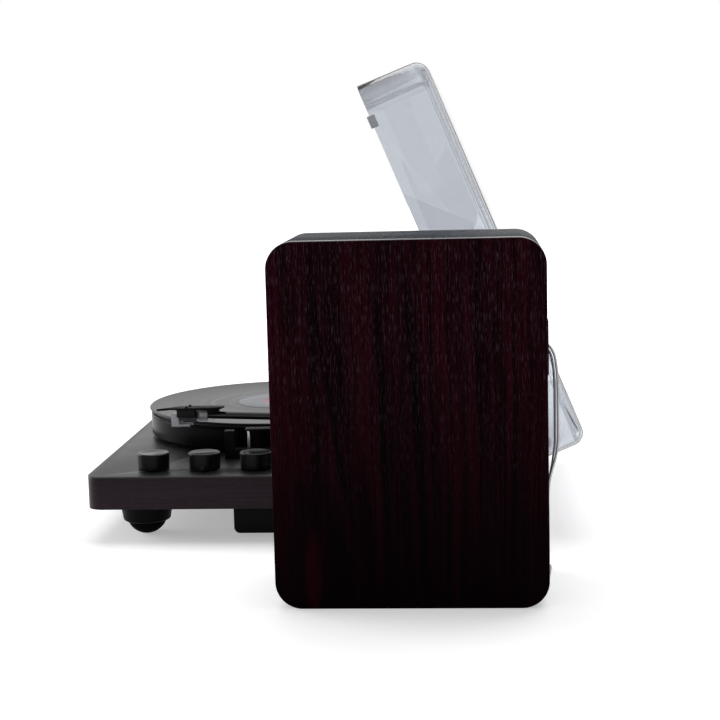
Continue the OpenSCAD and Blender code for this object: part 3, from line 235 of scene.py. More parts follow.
def veneer(name, across, along, spec):
    f = Finish(name, specularLevel=spec["shine"], coatRoughness=0.2)
    x, y, z = f.axes(f.place())
    u = x * across[0] + y * across[1] + z * across[2]
    v = x * along[0] + y * along[1] + z * along[2]
    sway = f.noise(f.vector(u * 9, v * 4.5, x * 2), 1.0, 2) - 0.5
    lean = u + sway * spec["sway"]
    broad = f.noise(f.vector(lean * spec["broad"], v * 1.6, 0), 1.0, 3, 0.55)
    strand = f.noise(f.vector(lean * spec["strand"], v * 5, 1), 1.0, 4, 0.65)
    fibre = f.noise(f.vector(lean * spec["fibre"], v * 18, 2), 1.0, 3, 0.6)
    pore = f.noise(f.vector(u * 1150, v * 120, 3), 1.0, 2, 0.5)
    shade = broad * 0.42 + strand * 0.38 + fibre * 0.20
    colour = f.ramp(shade, [(0.36, spec["dark"]), (0.47, spec["wine"]), (0.58, spec["red"])])
    # fine dark lines lie in the grain
    lineGrain = f.vector(lean * spec["strand"] * 2.2, v * 2.5, 5)
    lines = f.noise(lineGrain, 1.0, 2, 0.4).over(0.54, 0.63)
    colour = f.mix(lines * 0.7, colour, spec["dark"])
    for place, slope, low, high, half, depth in spec["streaks"]:
        away = (lean + (fibre - 0.5) * 0.0035 - place - (v - high) * slope).maths("ABSOLUTE")
        core = 1 - away.over(half * 0.35, half * 1.35)
        ends = v.over(low, low + 0.06) * (1 - v.over(high - 0.05, high + 0.02))
        broken = (strand * 1.3 + 0.2).maths("MINIMUM", 1)
        colour = f.mix(core * ends * broken * depth, colour, spec["dark"])
    # painted shade: darker towards the bottom
    if spec["fade"]:
        colour = f.mix((1 - v.over(*spec["fade"])) * 0.85, colour, spec["dark"])
    for place, middle, wide, tall, share in spec["patches"]:
        apart = ((lean - place) / wide) ** 2.0 + ((v - middle) / tall) ** 2.0
        flame = (1 - apart.over(0.2, 1.0)) * (0.35 + strand * 0.9) * share
        colour = f.mix(flame, colour, spec["warm"])
    poresAndSheen = pore.over(0.49, 0.66) * fibre.over(0.38, 0.60)
    # on the speaker's sides the pale pores come in only with height, painted reflection of light from above
    if spec["paintedSheenFrom"]:
        poresAndSheen = poresAndSheen * v.over(*spec["paintedSheenFrom"])
    colour = f.mix(poresAndSheen * spec["pores"], colour, spec["fleck"])
    # the lacquer pools on the rounded upper edges, which catch the light
    facing = f.axes(f.node("ShaderNodeNewGeometry", out="Normal"))
    edge = (1 - facing[0].maths("ABSOLUTE").over(0.94, 0.995)) * facing[2].over(0.12, 0.5)
    f.shader.inputs["Coat IOR"].default_value = lacquerIor
    f.give(baseColor=colour, roughness=fibre * 0.2 + pore * 0.06 + (spec["roughness"] - 0.12),
           coatWeight=edge * spec["edgeCoat"],
           normal=f.bump(fibre * 0.5 + pore * 0.5, 0.2, 0.0001))
    return f.material


def moulded(name, colour, roughness, grain=900, depth=0.25, shine=0.4, coat=0.0):
    f = Finish(name, specularLevel=shine, coatRoughness=0.12)
    where = f.place()
    fine = f.noise(where, grain, 3, 0.6)
    broad = f.noise(where, 24, 3, 0.5)
    worn = f.noise(where, 140, 2, 0.5)
    light = tuple(c * 1.35 + 0.001 for c in colour)
    f.give(baseColor=f.mix(broad * 0.7 + worn * 0.3, colour, light),
           roughness=broad * 0.10 + worn * 0.06 + fine * 0.05 + (roughness - 0.10),
           coatWeight=coat, normal=f.bump(fine, depth, 0.00006))
    return f.material


def metal(name, colour, roughness, brushed=(1, 1, 1), grain=600):
    f = Finish(name, metallic=1.0)
    x, y, z = f.axes(f.place())
    lines = f.noise(f.vector(x * brushed[0], y * brushed[1], z * brushed[2]), grain, 3, 0.6)
    broad = f.noise(f.place(), 30, 3)
    f.give(baseColor=f.mix(broad, colour, tuple(c * 0.82 for c in colour)),
           roughness=lines * 0.16 + broad * 0.08 + (roughness - 0.12),
           normal=f.bump(lines, 0.12, 0.00004))
    return f.material


def woven(name, colour, light, pitch, roughness):
    f = Finish(name, specularLevel=0.1, sheenWeight=0.06, sheenRoughness=0.5)
    x, y, z = f.axes(f.place())
    turn = 2 * math.pi / pitch
    warp = (x * turn).maths("SINE")
    weft = (z * turn).maths("SINE")
    over = (warp * weft).over(-0.6, 0.6)
    slub = f.noise(f.vector(x * 90, y * 90, z * 900), 1.0, 3)
    f.give(baseColor=f.mix(over * 0.7 + slub * 0.3, colour, light),
           roughness=roughness - over * 0.15,
           normal=f.bump(over + slub * 0.4, 0.6, 0.0002))
    return f.material


def felt(name, colour, light):
    f = Finish(name, specularLevel=0.15, sheenWeight=0.4, sheenRoughness=0.6)
    fuzz = f.noise(f.place(), 1800, 5, 0.7)
    cloud = f.noise(f.place(), 60, 3)
    f.give(baseColor=f.mix(fuzz * 0.6 + cloud * 0.4, colour, light), roughness=fuzz * 0.1 + 0.85,
           normal=f.bump(fuzz, 0.7, 0.0003))
    return f.material


# one colour above a height and another below it, with a soft line between
def banded(name, above, below, height, roughness, blend=0.0002):
    f = Finish(name, specularLevel=0.1)
    z = f.axes(f.place())[2]
    grain = f.noise(f.place(), 900, 3)
    worn = f.noise(f.place(), 120, 3)
    colour = f.mix(z.over(height - blend, height + blend), below, above)
    f.give(baseColor=f.mix(worn * 0.4, colour, above),
           roughness=grain * 0.08 + (roughness - 0.04),
           normal=f.bump(grain, 0.2, 0.00005))
    return f.material


# record: radii of the label, its coloured middle and the grooves, and the grooves' pitch
recordLook = dict(
    label=0.050, ring=0.0240, groove=0.00042, runOut=0.0585, edge=0.1465,
    # the vinyl is tinted blue, painted reflection of bluish surroundings, and the label's paper takes the same
    # painted blue cast
    paper=(0.15, 0.155, 0.17), middle=(0.27, 0.12, 0.15), vinyl=(0.0040, 0.0050, 0.0075),
)


def pressed(name, spec):
    f = Finish(name, specularLevel=0.14)
    x, y = f.axes(f.place(centre=spindleFoot))[:2]
    reach = (x * x + y * y) ** 0.5
    label = 1 - reach.over(spec["label"] - 0.0002, spec["label"])
    middle = 1 - reach.over(spec["ring"] - 0.0002, spec["ring"] + 0.0002)
    cut = reach.over(spec["runOut"], spec["runOut"] + 0.0006)
    cut = cut * (1 - reach.over(spec["edge"] - 0.0006, spec["edge"]))
    tracks = f.noise(f.vector(reach * 160, 0, 0), 1.0, 1)
    gaps = 1 - (tracks - 0.5).maths("ABSOLUTE").over(0.0, 0.012)
    wave = (reach * (2 * math.pi / spec["groove"])).maths("SINE")
    loud = f.noise(f.vector(reach * 900, 0, 0), 1.0, 3)
    speck = f.noise(f.place(), 400, 3)
    paper = f.mix(middle, spec["paper"], spec["middle"])
    paper = f.mix(speck * 0.25, paper, tuple(c * 0.8 for c in spec["paper"]))
    f.give(baseColor=f.mix(label, spec["vinyl"], paper),
           roughness=label * 0.38 + (1 - label) * (0.26 + loud * 0.05 - gaps * 0.05),
           normal=f.bump(wave * cut * (1 - gaps) * (0.4 + loud), 0.12, 0.00002))
    return f.material


# clear plastic with painted shade: its colour darkens to the edge colour where the wall turns from the eye,
# standing for the dark outline of a thick clear wall; the band gives how far the wall turns before it darkens
coverLook = dict(side=(0.70, 0.722, 0.758), sheet=(0.87, 0.88, 0.90), edge=(0.17, 0.185, 0.21),
                 band=(0.16, 0.42), ior=1.49, roughness=0.004,
                 lean=math.radians(jointOf["lid_hinge"]["range_deg"][1]))
cableLook = dict(tint=(0.90, 0.91, 0.92), edge=(0.35, 0.35, 0.35), band=(0.3, 0.65), ior=1.45,
                 roughness=0.05)
# how far the painted edge shade darkens the colour
edgeShadeShare = 0.92


def seeThrough(name, spec):
    f = Finish(name, transmissionWeight=1.0)
    f.shader.inputs["IOR"].default_value = spec["ior"]
    rim = f.node("ShaderNodeLayerWeight", None, {"Blend": 0.5}, out="Facing")
    return f, f.noise(f.place(), 14, 3), f.noise(f.place(), 320, 3), rim.over(*spec["band"])


# clear cable jacket, with painted shade darkening its colour along its outline
def clear(name, spec):
    f, cloud, scuff, rim = seeThrough(name, spec)
    body = f.mix(cloud * 0.4, spec["tint"], tuple(c * 0.95 for c in spec["tint"]))
    f.give(baseColor=f.mix(rim * edgeShadeShare, body, spec["edge"]),
           roughness=scuff * 0.008 + cloud * 0.008 + spec["roughness"])
    return f.material


# painted shade on the cover: its colour darkens to the edge colour only where its wall turns away round an edge
def blown(name, spec):
    f, cloud, scuff, rim = seeThrough(name, spec)
    x, y, z = f.axes(f.node("ShaderNodeTexCoord", out="Normal"))
    c, s = math.cos(spec["lean"]), math.sin(spec["lean"])
    across, deep, high = [w.maths("ABSOLUTE") for w in (x, y * c - z * s, y * s + z * c)]
    flat = across.maths("MAXIMUM", deep).maths("MAXIMUM", high).over(0.985, 0.997)
    # painted shade: walls facing sideways take the darker side tint and the rest the paler sheet tint, standing
    # for the grey seen through both side walls
    body = f.mix(across.over(0.5, 0.9), spec["sheet"], spec["side"])
    body = f.mix(cloud * 0.3, body, tuple(c * 0.95 for c in spec["side"]))
    f.give(baseColor=f.mix(rim * (1 - flat) * edgeShadeShare, body, spec["edge"]),
           roughness=scuff * 0.006 + cloud * 0.006 + spec["roughness"])
    return f.material


# knob: satin sides, and a polished face at the height given by top
knobLook = dict(side=(0.0026, 0.0026, 0.0032), roughness=0.34, polish=0.16, top=0.0848,
                shine=0.12)


def knobFinish(name, spec):
    f = Finish(name, specularLevel=spec["shine"])
    x, y, z = f.axes(f.place())
    onTop = z.over(spec["top"] - 0.0010, spec["top"] - 0.0006)
    grain = f.noise(f.place(), 1500, 3, 0.6)
    turned = f.noise(f.vector(x * 30, y * 30, z * 4000), 1.0, 2)
    f.give(baseColor=f.mix(grain * 0.6, spec["side"], tuple(c * 1.6 for c in spec["side"])),
           roughness=(onTop * (spec["polish"] - spec["roughness"]) + grain * 0.06
                      + spec["roughness"]),
           normal=f.bump((grain * 0.5 + turned * 0.5) * (1 - onTop), 0.25, 0.00006))
    return f.material


cartridgeKeel = 4.4 * mm
grillePitch = 0.0012

# after the colours: moulded takes roughness, grain, bump, shine and coat,
# and metal takes roughness, the brushing's stretch along x, y and z, and grain
looks = {
    "dark_veneer": veneer("dark_veneer", (0, 0, 1), (1, 1, 0), plinthSet),
    "panel_veneer": veneer("panel_veneer", (0, 1, 0), (0, 0, 1), panelSet),
    "black_top": moulded("black_top", (0.0022, 0.0020, 0.0028), 0.36, 900, 0.10, 0.30),
    "black_board": moulded("black_board", (0.010, 0.010, 0.010), 0.6, 500, 0.3, 0.3),
    "black_moulding": moulded("black_moulding", (0.0024, 0.0025, 0.0032), 0.46, 1100, 0.3,
                              0.05),
    "green_board": moulded("green_board", (0.01, 0.05, 0.02), 0.4, 300, 0.1, 0.5),
    "foot_rubber": moulded("foot_rubber", (0.0022, 0.0022, 0.0025), 0.7, 800, 0.4, 0.02),
    "bearing_brass": metal("bearing_brass", (0.60, 0.42, 0.16), 0.32, (1, 1, 12)),
    "bright_steel": metal("bright_steel", (0.62, 0.62, 0.63), 0.16, (1, 1, 8), 300),
    "platter_black": moulded("platter_black", (0.0010, 0.0012, 0.0020), 0.26, 900, 0.08, 0.03),
    "felt_mat": felt("felt_mat", (0.004, 0.004, 0.004), (0.010, 0.010, 0.011)),
    "vinyl": pressed("vinyl", recordLook),
    "motor_can": metal("motor_can", (0.50, 0.50, 0.51), 0.35),
    "belt_rubber": moulded("belt_rubber", (0.006, 0.006, 0.006), 0.7, 600, 0.3, 0.3),
    "grey_metal": metal("grey_metal", (0.20, 0.20, 0.21), 0.42),
    "knob_black": knobFinish("knob_black", knobLook),
    "arm_black": moulded("arm_black", (0.0020, 0.0020, 0.0025), 0.14, 400, 0.04, 0.22, 0.12),
    "weight_black": moulded("weight_black", (0.006, 0.006, 0.007), 0.3, 800, 0.2, 0.4),
    "cartridge_black": banded("cartridge_black", (0.0022, 0.0022, 0.0028), (0.085, 0.085, 0.09),
                              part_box("cartridge")[0].z + cartridgeKeel, 0.42),
    "pale_plastic": moulded("pale_plastic", (0.36, 0.37, 0.39), 0.4, 600, 0.2, 0.4),
    "collar_alloy": moulded("collar_alloy", (0.26, 0.265, 0.275), 0.3, 700, 0.1, 0.5),
    "lead_silver": metal("lead_silver", (0.66, 0.66, 0.68), 0.3, grain=900),
    "clear_cover": blown("clear_cover", coverLook),
    "clear_rubber": moulded("clear_rubber", (0.40, 0.41, 0.44), 0.5, 500, 0.2, 0.3),
    # the speaker's black carries a blue-grey tint: its own black with a painted reflection of bluish surroundings
    "speaker_black": moulded("speaker_black", (0.0100, 0.0125, 0.0165), 0.48, 700, 0.10,
                             0.03),
    "cone_paper": felt("cone_paper", (0.010, 0.010, 0.011), (0.02, 0.02, 0.021)),
    "grille_fabric": woven("grille_fabric", (0.004, 0.004, 0.005), (0.016, 0.016, 0.018),
                           grillePitch, 0.85),
    "clear_cable": clear("clear_cable", cableLook),
    "tinned_strand": metal("tinned_strand", (0.46, 0.46, 0.47), 0.4, grain=900),
    "lever_red": moulded("lever_red", (0.30, 0.015, 0.015), 0.4, 700, 0.2, 0.45),
}
print("finishes made:", len(looks))


# a finished mesh on its body; sharp is the angle past which shading breaks
def piece(name, bm, body, look, sharp=35):
    mesh = bpy.data.meshes.new(name)
    bm.to_mesh(mesh)
    bm.free()
    mesh.shade_smooth()
    mesh.set_sharp_from_angle(angle=math.radians(sharp))
    mesh.materials.append(looks[look])
    made = bpy.data.objects.new(name, mesh)
    scene.collection.objects.link(made)
    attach(made, body)
    return made


def roundEdges(bm, width, segments=2, angle=35):
    edges = [e for e in bm.edges
             if len(e.link_faces) == 2 and e.calc_face_angle(0) > math.radians(angle)]
    bmesh.ops.bevel(bm, geom=edges, offset=width, offset_type="OFFSET", affect="EDGES",
                    segments=segments, profile=0.5, material=-1, clamp_overlap=True)


weldWithin = 1e-6
flatWithin = math.radians(0.6)


# a CAD node's own shape, its flats merged and its hard edges rounded
def dressed(node, width, look=None, segments=2, angle=35):
    bm = bmesh.new()
    bm.from_mesh(frame["nodes"][node].data)
    bmesh.ops.remove_doubles(bm, verts=bm.verts, dist=weldWithin)
    bmesh.ops.dissolve_limit(bm, angle_limit=flatWithin, verts=bm.verts, edges=bm.edges)
    if width:
        roundEdges(bm, width * mm, segments, angle)
    made = piece(node + "_shape", bm, bodyOf[node], look or slotOf[node])
    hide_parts(node)
    return made


def dress(nodes, width, **more):
    for node in nodes.split():
        dressed(node, width, **more)


# a block between two corners
def block(low, high):
    bm = bmesh.new()
    bmesh.ops.create_cube(bm, size=1)
    bmesh.ops.transform(bm, matrix=Matrix.Translation((low + high) / 2)
                        @ Matrix.Diagonal((*(high - low), 1)), verts=bm.verts)
    return bm


# an outline of radius and height in mm, spun round an axis through foot
def lathe(name, outline, foot, body, look, axis=(0, 0, 1), steps=96, width=0.4):
    bm = bmesh.new()
    turnTo = Vector(axis).to_track_quat("Z", "Y").to_matrix().to_4x4()
    points = [bm.verts.new((r * mm, 0, z * mm)) for r, z in outline]
    for a, b in zip(points, points[1:]):
        bm.edges.new((a, b))
    bmesh.ops.spin(bm, geom=bm.verts[:] + bm.edges[:], cent=(0, 0, 0), axis=(0, 0, 1),
                   angle=2 * math.pi, steps=steps, use_merge=True)
    bmesh.ops.remove_doubles(bm, verts=bm.verts, dist=weldWithin / 10)
    bmesh.ops.recalc_face_normals(bm, faces=bm.faces)
    if width:
        roundEdges(bm, width * mm, 3, 25)
    bmesh.ops.transform(bm, matrix=Matrix.Translation(foot) @ turnTo, verts=bm.verts)
    return piece(name, bm, body, look)


# loudspeaker lead: the route is the solid's, from the terminal cup to the deck's clamps,
# in mm from the spindle's foot
cableSet = dict(
    width=5.0, thick=2.6, core=0.95, apart=1.25, tieEdge=0.25,
    cupDepth=2, clamp=(100, 51.5), clampDepth=3,
    coilCentre=(307, 205), coilMid=27.5, coilTurns=2.5, pitch=5.6, low=3.7, dip=1.0,
    flatFrom=134, flatOver=34, flatUntil=372, press=1.4,
)
leadRoute = [
    (418.5, 275, 216), (418.5, 280, 214.5), (418.5, 284, 211), (418.5, 286.5, 206),
    (418.5, 288, 199), (418.5, 289, 190), (418.5, 289.5, 178), (418.5, 289.5, 166),
    (418.5, 289.5, 154), (418.5, 289.5, 142), (418.5, 289.5, 130), (418.5, 288.5, 118),
    (418.5, 286.5, 106), (418.5, 284, 94), (418.5, 283, 82), (418.5, 283, 70),
    (418.5, 283, 58), (418.5, 283, 46), (418.5, 283, 34), (417, 283, 23.5), (413, 283, 14),
    (406, 283, 7), (397, 283, 3.4), (386, 283, 2.5), (374, 283.4, 2.5), (364, 284.4, 2.5),
    (355.5, 284.2, 2.5), (349, 279.5, 2.5), (345.5, 271, 2.5), (343.5, 259, 2.5),
    (342, 246, 2.5), (341.5, 234, 2.8), (341, 222, 3.5)]
tailRoute = [
    (272.5, 221, 9), (272.5, 231, 7.5), (272, 242, 5), (269.5, 253, 3), (263, 263, 2.5),
    (253, 269, 2.5), (241, 271, 2.5), (229, 271, 2.5), (217, 271, 2.5), (205, 271, 2.5),
    (193, 271, 2.5), (181, 271, 2.5), (169, 271, 2.5), (157, 271, 2.5), (145, 271, 2.5),
    (133, 270, 2.5), (121, 267, 4), (112, 264, 9), (106, 261, 17), (102.5, 259, 26),
    (101, 257, 35), (100, 254.5, 43), (100, 251, 48.5), (100, 247, 51)]


def coilRoute(spec, perTurn=24):
    half = spec["pitch"] * spec["coilTurns"] / 2
    outer, inner, turns = spec["coilMid"] + half, spec["coilMid"] - half, spec["coilTurns"]
    route = []
    for i in range(int((2 * turns + 0.5) * perTurn) + 1):
        t = i / perTurn
        swing = 2 * math.pi * (t - turns)
        if t < turns:
            r, rise = outer - spec["pitch"] * t, 0
        elif t > turns + 0.5:
            r, rise = inner + spec["pitch"] * (t - turns - 0.5), 1
        else:
            r, rise = inner - spec["dip"] * math.sin(swing), (1 - math.cos(swing)) / 2
        route.append((spec["coilCentre"][0] + r * math.cos(2 * math.pi * t),
                      spec["coilCentre"][1] - r * math.sin(2 * math.pi * t),
                      spec["low"] + spec["pitch"] * rise))
    return route


def fromSpindle(points):
    return [spindleFoot + Vector(p) * mm for p in points]


# a route's points joined by one smooth curve
def smoothed(points, closeness=3):
    line = bpy.data.curves.new("line", "CURVE")
    line.dimensions = "3D"
    line.resolution_u = closeness
    spline = line.splines.new("BEZIER")
    spline.bezier_points.add(len(points) - 1)
    for knot, point in zip(spline.bezier_points, points):
        knot.co = point
        knot.handle_left_type = knot.handle_right_type = "AUTO"
    holder = bpy.data.objects.new("line", line)
    scene.collection.objects.link(holder)
    bpy.context.view_layer.update()
    mesh = holder.to_mesh()
    path = [v.co.copy() for v in mesh.vertices]
    holder.to_mesh_clear()
    bpy.data.objects.remove(holder)
    bpy.data.curves.remove(line)
    return path


# the lead's side is carried along the path, and turned a quarter where share is one
def carriedFrames(path, side, share):
    frames = []
    for i, point in enumerate(path):
        way = (path[min(i + 1, len(path) - 1)] - path[max(i - 1, 0)]).normalized()
        side = (side - way * side.dot(way)).normalized()
        turned = Matrix.Rotation(math.pi / 2 * share[i], 3, way) @ side
        frames.append((point, turned, way.cross(turned)))
    return frames


# how far the lead has twisted to lie flat on the cabinet's back
def flatOnBack(point, spec):
    x, y, z = (point - spindleFoot) / mm
    down = (spec["flatFrom"] - z) / spec["flatOver"]
    inward = (x - spec["flatUntil"]) / spec["flatOver"]
    share = max(0, min(1, down, inward))
    return share * share * (3 - 2 * share)


def sweep(name, frames, outline, look, shift=0.0):
    bm = bmesh.new()
    rings = []
    for point, side, other in frames:
        centre = point + side * shift
        rings.append([bm.verts.new(centre + side * a + other * b) for a, b in outline])
    count = len(outline)
    for low, high in zip(rings, rings[1:]):
        for k in range(count):
            bm.faces.new((low[k], high[k], high[(k + 1) % count], low[(k + 1) % count]))
    bm.faces.new(rings[0])
    bm.faces.new(list(reversed(rings[-1])))
    bmesh.ops.recalc_face_normals(bm, faces=bm.faces)
    return piece(name, bm, "root", look, sharp=50)


def circleOutline(radius, count):
    turn = 2 * math.pi / count
    return [(radius * math.cos(turn * k), radius * math.sin(turn * k)) for k in range(count)]


# two round cords side by side, with a waist between them
def twinOutline(spec, count=10, waist=72):
    r = spec["thick"] / 2 * mm
    out = (spec["width"] / 2 - spec["thick"] / 2) * mm
    points = []
    for side in (1, -1):
        for k in range(count):
            angle = math.radians(-waist + 2 * waist * k / (count - 1))
            angle += 0 if side > 0 else math.pi
            points.append((side * out + r * math.cos(angle), r * math.sin(angle)))
    return points


def makeCable(spec):
    middle = (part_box("side_panel_inner")[0].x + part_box("side_panel_outer")[1].x) / 2
    cupFloor = Vector((middle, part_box("terminal_cup")[0].y + spec["cupDepth"] * mm,
                       leadRoute[0][2] * mm))
    clampX, clampZ = spec["clamp"]
    clampFloor = fromSpindle([(clampX, 0, clampZ)])[0]
    clampFloor.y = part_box("plinth")[1].y + spec["clampDepth"] * mm
    coil = fromSpindle(coilRoute(spec))
    step = Vector((0, spec["width"] * mm, 0))
    route = [cupFloor, cupFloor + step, *fromSpindle(leadRoute), coil[0] + step, *coil,
             coil[-1] + step, *fromSpindle(tailRoute), clampFloor + step, clampFloor]
    path = smoothed(route)
    share = [flatOnBack(p, spec) for p in path]
    path = [p - Vector((0, spec["press"] * mm * s, 0)) for p, s in zip(path, share)]
    length = sum((b - a).length for a, b in zip(path, path[1:]))
    frames = carriedFrames(path, Vector((0, 0, 1)), share)
    jacket = sweep("speaker_cable", frames, twinOutline(spec), "clear_cable")
    cores = [sweep("cable_core_" + str(i + 1), frames, circleOutline(spec["core"] * mm, 8),
                   "tinned_strand", shift=side * spec["apart"] * mm)
             for i, side in enumerate((1, -1))]
    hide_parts("cable_lead", "cable_coil", "cable_tail")
    tie = dressed("cable_tie", spec["tieEdge"])
    print("cable length", round(length, 3))


makeCable(cableSet)
print("cable made")

# dust cover: a clear box, blown with round edges, open along its rim
coverSet = dict(height=69, wall=2.6, edge=13, edgeSteps=10, draft=1.5, gap=3, inset=3,
                backIn=2, rim=0.35, rimAngle=50)
lidEdges = dict(buffers=0.9, hinges=0.5, pins=0.3)


# from closed to the photographed opening
def swungOpen():
    hinge = jointOf["lid_hinge"]
    at = Vector(hinge["pos_m"])
    turn = Matrix.Rotation(math.radians(-hinge["range_deg"][1]), 4, "X")
    return Matrix.Translation(at) @ turn @ Matrix.Translation(-at)


def makeCover(spec):
    low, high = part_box("top_panel")
    x0, x1 = low.x + spec["inset"] * mm, high.x - spec["inset"] * mm
    y0, y1 = low.y + spec["inset"] / 2 * mm, high.y - spec["backIn"] * mm
    z0 = high.z + spec["gap"] * mm
    z1 = z0 + spec["height"] * mm
    bm = bmesh.new()
    bmesh.ops.create_cube(bm, size=1)
    for v in bm.verts:
        top = v.co.z > 0
        inward = spec["draft"] * mm if top else 0
        v.co = Vector((x0 + inward if v.co.x < 0 else x1 - inward,
                       y0 + inward if v.co.y < 0 else y1, z1 if top else z0))
    under = [f for f in bm.faces if f.normal.z < -0.9]
    bmesh.ops.delete(bm, geom=under, context="FACES_ONLY")
    edges = [e for e in bm.edges if len(e.link_faces) == 2]
    bmesh.ops.bevel(bm, geom=edges, offset=spec["edge"] * mm, offset_type="OFFSET",
                    affect="EDGES", segments=spec["edgeSteps"], profile=0.5, material=-1,
                    clamp_overlap=True)
    bmesh.ops.recalc_face_normals(bm, faces=bm.faces)
    if sum(f.normal.z * f.calc_area() for f in bm.faces) < 0:
        bmesh.ops.reverse_faces(bm, faces=bm.faces)
    bmesh.ops.transform(bm, matrix=swungOpen(), verts=bm.verts)
    made = piece("dust_cover_shell", bm, "lid", "clear_cover", 60)
    wall = made.modifiers.new("wall", "SOLIDIFY")
    wall.thickness, wall.offset = spec["wall"] * mm, -1
    wall.use_even_offset = True
    rim = made.modifiers.new("rim", "BEVEL")
    rim.width, rim.segments, rim.limit_method = spec["rim"] * mm, 2, "ANGLE"
    rim.angle_limit = math.radians(spec["rimAngle"])
    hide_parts("dust_cover")


makeCover(coverSet)
dress("lid_buffers", lidEdges["buffers"], segments=3)
dress("lid_leaves hinge_brackets", lidEdges["hinges"])
dress("hinge_pins", lidEdges["pins"])
print("cover made")

# deck: how far each kind of edge is rounded, in mm
deckEdges = dict(plinth=0.7, board=0.25, moulding=0.4, rubber=0.3, lever=0.3, hidden=0)

dress("plinth", deckEdges["plinth"], segments=3)
dress("top_panel", deckEdges["board"])
dress("bottom_cover electronics_housing foot_collars jack_panel", deckEdges["moulding"])
dress("foot_pads", deckEdges["rubber"])
dress("deck_lever_1 deck_lever_2 deck_lever_3 deck_lever_4", deckEdges["lever"])
dress("amplifier_board motor speed_switch source_switch volume_control", deckEdges["hidden"])
print("deck made")

# turntable: turned pieces, so they are spun again with soft edges
turntableSet = dict(
    hub=20, hubLift=1, ringOut=90, ringIn=85, ringDrop=3, rim=12, web=6,
    chamfer=0.8, grooveTop=2.2, grooveMid=2.7, grooveEnd=3.2, grooveDeep=0.5,
    ridge=17, ridgeEnd=19, ridgeSlope=0.6, ridgeDeep=0.15,
    label=50, labelSlope=0.3, labelDeep=0.12, run=53, bead=4, beadSlope=2, dip=0.3,
    lip=0.15, lipFrom=0.5, lipTo=1, matGap=0.2, steps=256, matSteps=192,
    platterEdge=0.25, recordEdge=0.1, matEdge=0.6, smallEdge=0.15,
)


def sizesOf(node):
    low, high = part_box(node)
    return (high.x - low.x) / 2 / mm, low.z / mm, high.z / mm


def makeTurntable(spec):
    shaft = sizesOf("spindle")[0]
    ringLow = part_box("drive_belt")[0].z / mm - spec["ringDrop"]
    r, z0, z1 = sizesOf("platter")
    web, inner, cut = z1 - spec["web"], r - spec["rim"], spec["chamfer"]
    platter = lathe("platter_casting", [
        (shaft, z1), (r - cut, z1), (r, z1 - cut), (r, z1 - spec["grooveTop"]),
        (r - spec["grooveDeep"], z1 - spec["grooveMid"]), (r, z1 - spec["grooveEnd"]),
        (r, z0 + cut), (r - cut, z0), (inner, z0), (inner, web), (spec["ringOut"], web),
        (spec["ringOut"], ringLow), (spec["ringIn"], ringLow), (spec["ringIn"], web),
        (spec["hub"], web), (spec["hub"], z0 + spec["hubLift"]), (shaft, z0 + spec["hubLift"])],
        spindleFoot, "platter", "platter_black", steps=spec["steps"],
        width=spec["platterEdge"])
    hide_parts("platter")
    r, z0, z1 = sizesOf("record")
    sunk, low, lip = z1 - spec["ridgeDeep"], z1 - spec["dip"], spec["lip"]
    record = lathe("record_disc", [
        (shaft, z1), (spec["ridge"], z1), (spec["ridge"] + spec["ridgeSlope"], sunk),
        (spec["ridgeEnd"] - spec["ridgeSlope"], sunk), (spec["ridgeEnd"], z1),
        (spec["label"], z1), (spec["label"] + spec["labelSlope"], z1 - spec["labelDeep"]),
        (spec["run"], low), (r - spec["bead"] - spec["beadSlope"], low),
        (r - spec["bead"], z1), (r - cut, z1), (r - lip, z1 - spec["lipFrom"]),
        (r, z1 - spec["lipTo"]), (r - lip, z0 + spec["lipFrom"]), (r - cut, z0), (shaft, z0)],
        spindleFoot, "platter", "vinyl", steps=spec["steps"], width=spec["recordEdge"])
    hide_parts("record")
    r, z0, z1 = sizesOf("slipmat")
    hole = shaft + spec["matGap"]
    mat = lathe("slipmat_felt", [(hole, z1), (r, z1), (r, z0), (hole, z0)],
                spindleFoot, "platter", "felt_mat", steps=spec["matSteps"],
                width=spec["matEdge"])
    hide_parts("slipmat")


makeTurntable(turntableSet)
dress("spindle motor_pulley bearing_sleeve", turntableSet["smallEdge"], angle=45)
dress("drive_belt", turntableSet["smallEdge"])
print("turntable made")

# knobs: spun body with a dished cap, and a pointer at its foot
knobSet = dict(
    foot=15.6, flare=16.2, height=16.9, lift=0.6, dish=0.5, dishEdge=0.35, rimIn=2.6,
    slope=1.6, chamfer=0.9, shoulder=2.2, tuck=0.25, skirt=6, skirtOut=0.15, toe=0.8,
    bore=8, steps=128, edge=0.25, pointer=(4.0, 5.0, 5.0), pointerEdge=0.5,
    turned=dict(speed_knob=150, source_knob=0, volume_knob=210),
)


